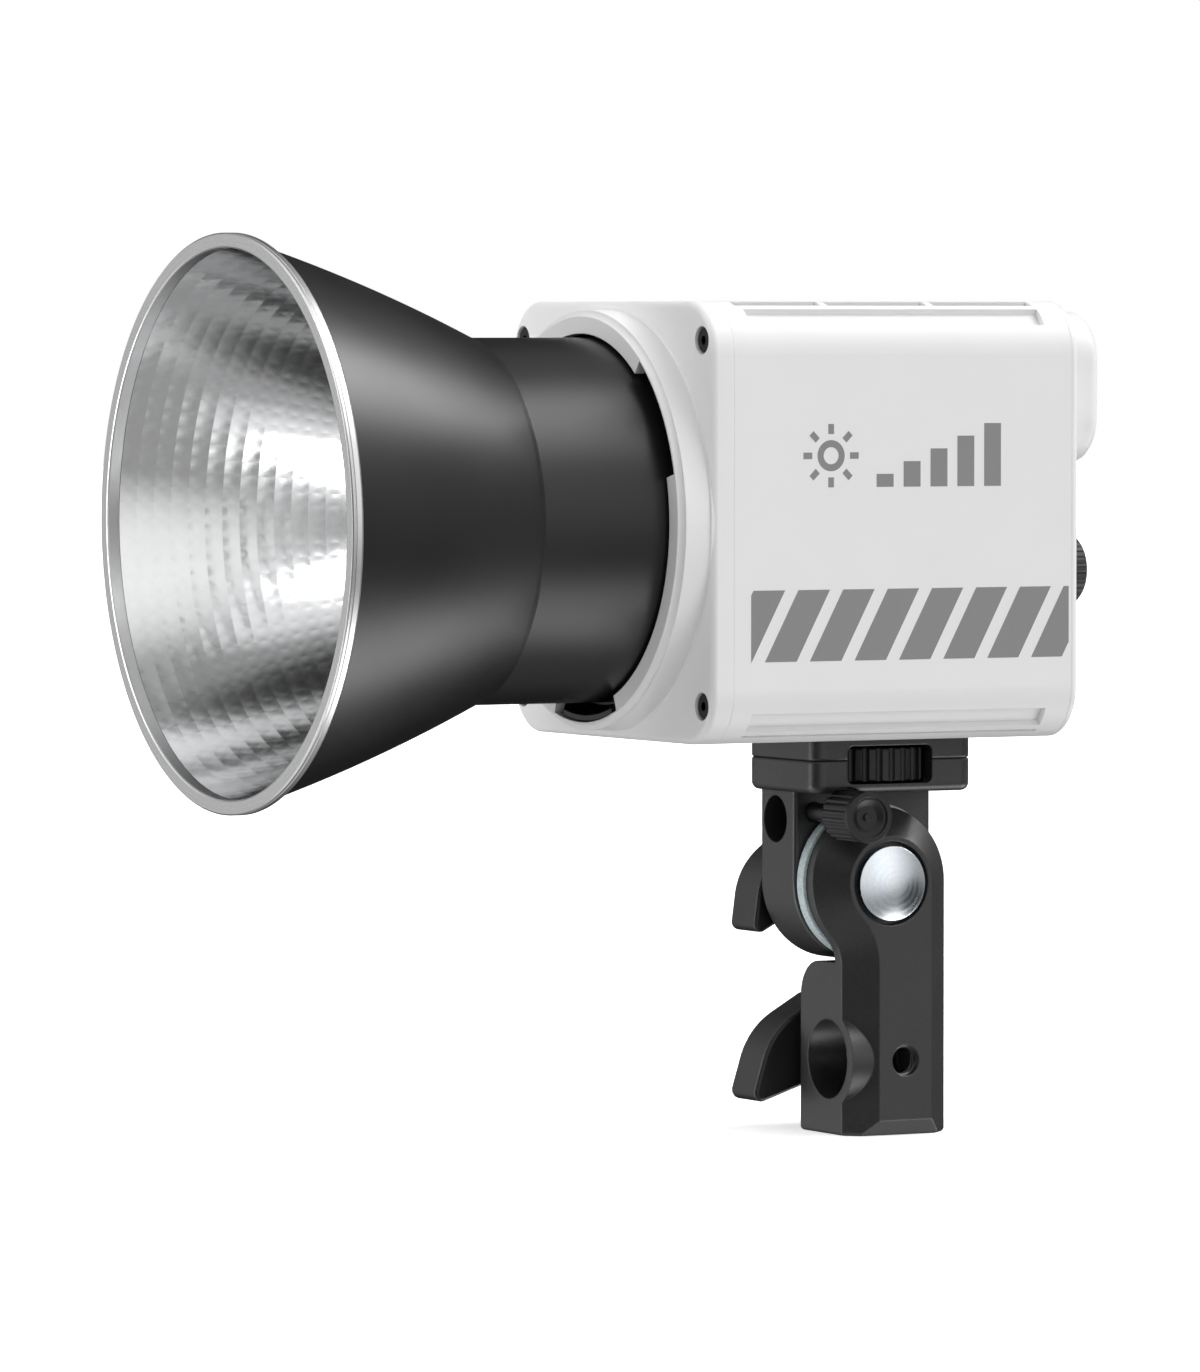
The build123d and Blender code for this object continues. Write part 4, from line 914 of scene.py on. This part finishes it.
def make_side_thread():
    """The thread turns inside the adapter's camera-thread hole."""
    radius, depth, pitch = 3.08, 0.42, 1.27
    start_x, turns, steps = ADAPTER_FACE - 0.45, 2.1, 48
    foot, tip = 0.42, 0.08
    run_out = 8
    points, faces = [], []
    count = int(turns * steps) + 1
    for k in range(count):
        angle = 2 * math.pi * k / steps
        x = start_x - pitch * k / steps
        taper = min(1.0, k / run_out, (count - 1 - k) / run_out)
        crest = radius - depth * taper
        for r, dx in ((radius, foot), (crest, tip), (crest, -tip), (radius, -foot)):
            across = x + dx * max(taper, 0.1)
            points.append(Vector((across, r * math.cos(angle), CROSS_Z + r * math.sin(angle))) * MM)
    for k in range(count - 1):
        for j in range(4):
            a, b = k * 4 + j, k * 4 + (j + 1) % 4
            faces.append((a, a + 4, b + 4, b))
    thread = add_mesh("side_thread_turns", points, faces, [THREAD_METAL], angle=30.0)
    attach(thread, "stand_adapter")


# ------------------------------------------------------------------ studio


# Directions of the studio's lights and flags: axis, outer and inner half angles, strength or share
SOFT_BOXES = (
    ((0.34, 0.47, 0.81), 28, 8, 3.5),
    ((0.12, 0.76, 0.64), 17, 4, 10.0),
    ((0.46, 0.47, -0.75), 26, 6, 2.7),
    ((0.20, 0.77, -0.60), 17, 4, 5.6),
    ((0.95, 0.04, 0.32), 43, 8, 0.55),
    ((0.84, 0.46, 0.22), 30, 8, 0.35),
    ((-0.30, -0.60, 0.74), 45, 10, 0.62),
    ((-0.25, -0.62, -0.74), 45, 10, 0.65),
    ((-0.88, -0.47, -0.04), 34, 8, 0.40),
)
BLACK_FLAGS = (
    ((-0.883, 0.469, -0.04), 60, 30, 0.92),
    ((0.62, -0.78, 0.0), 34, 14, 0.9),
    ((0.56, 0.78, -0.27), 20, 8, 0.85),
)
# The strip light's narrow direction, its middle and its strength
STRIP_LIGHT = ((0.96, -0.25, 0.0), (-0.25, -0.96, 0.05), 4.4)

# The fills' names, the places that they shine from, their strengths and their angles
FILLS = (
    ("back_fill", (-2.0, 0.4, 0.4), 0.8, 70),
    ("front_fill", (0.5, -2.0, 0.5), 0.40, 60),
    ("side_fill", (2.0, -0.3, -0.1), 0.64, 60),
)


def fill_light(name, place, strength, angle):
    """A broad fill that lights matt surfaces only and never shows as a reflection."""
    data = bpy.data.lights.new(name, "SUN")
    data.energy = strength
    data.angle = math.radians(angle)
    light = bpy.data.objects.new(name, data)
    light.location = place
    light.rotation_euler = (-Vector(place)).to_track_quat("-Z", "Y").to_euler()
    light.visible_glossy = False
    scene.collection.objects.link(light)


def make_world():
    """Dim walls, soft boxes and black flags all round, and plain white where the camera looks past."""
    world = bpy.data.worlds.new("studio")
    scene.world = world
    world.use_nodes = True
    tree = Tree(world.node_tree)
    background = world.node_tree.nodes["Background"]
    output = world.node_tree.nodes["World Output"]
    direction = tree.node("ShaderNodeTexCoord").outputs["Generated"]

    def along(axis):
        return tree.vector("DOT_PRODUCT", direction, tuple(Vector(axis).normalized()), "Value")

    def cone(axis, outer, inner, strength):
        low, high = math.cos(math.radians(outer)), math.cos(math.radians(inner))
        return tree.ramp(along(axis), low, high, 0.0, strength)

    total = tree.ramp(along((0, 0, 1)), -0.5, 0.5, 0.31, 0.38)
    for box in SOFT_BOXES:
        total = tree.math("ADD", total, cone(*box))
    across, middle, strength = STRIP_LIGHT
    sideways = tree.math("ABSOLUTE", along(across))
    narrow = tree.ramp(sideways, math.sin(math.radians(13)), math.sin(math.radians(5)))
    strip = tree.math("MULTIPLY", narrow, cone(middle, 45, 30, strength))
    total = tree.math("ADD", total, strip)
    for axis, outer, inner, share in BLACK_FLAGS:
        total = tree.math("MULTIPLY", total, tree.math("SUBTRACT", 1.0, cone(axis, outer, inner, share)))
    tree.tree.links.new(total, background.inputs["Strength"])
    background.inputs["Color"].default_value = (1, 1, 1, 1)
    plain = tree.node("ShaderNodeBackground", {"Color": (1, 1, 1, 1), "Strength": 1.0})
    path = tree.node("ShaderNodeLightPath").outputs["Is Camera Ray"]
    mixed = tree.node("ShaderNodeMixShader", {0: path, 1: background.outputs[0], 2: plain.outputs[0]})
    tree.tree.links.new(mixed.outputs[0], output.inputs["Surface"])


def make_floor():
    """A plain pale floor."""
    material, tree, shader = start("pale_floor")
    cloud = tree.noise(tree.place(), 60.0, 2.0)
    tree.tree.links.new(tree.mix(cloud, rgb(0.90), rgb(0.92)), shader.inputs["Base Color"])
    shader.inputs["Roughness"].default_value = 0.9
    shader.inputs["Emission Color"].default_value = (1, 1, 1, 1)
    shader.inputs["Emission Strength"].default_value = 0.5
    mesh = bpy.data.meshes.new("floor")
    mesh.from_pydata([(-8, -8, 0), (8, -8, 0), (8, 8, 0), (-8, 8, 0)], [], [(0, 1, 2, 3)])
    mesh.materials.append(material)
    floor = bpy.data.objects.new("floor", mesh)
    scene.collection.objects.link(floor)
    floor.visible_glossy = False
    floor.visible_diffuse = False


def make_studio():
    """The floor, the surroundings and the soft lights."""
    make_world()
    make_floor()
    for fill in FILLS:
        fill_light(*fill)
    scene.view_settings.view_transform = "Standard"


make_camera()
finish_nodes()
make_bowl()
make_facets()
make_side_prints()
make_display_marks()
make_rear_prints()
make_rocker_marks()
make_side_thread()
make_studio()
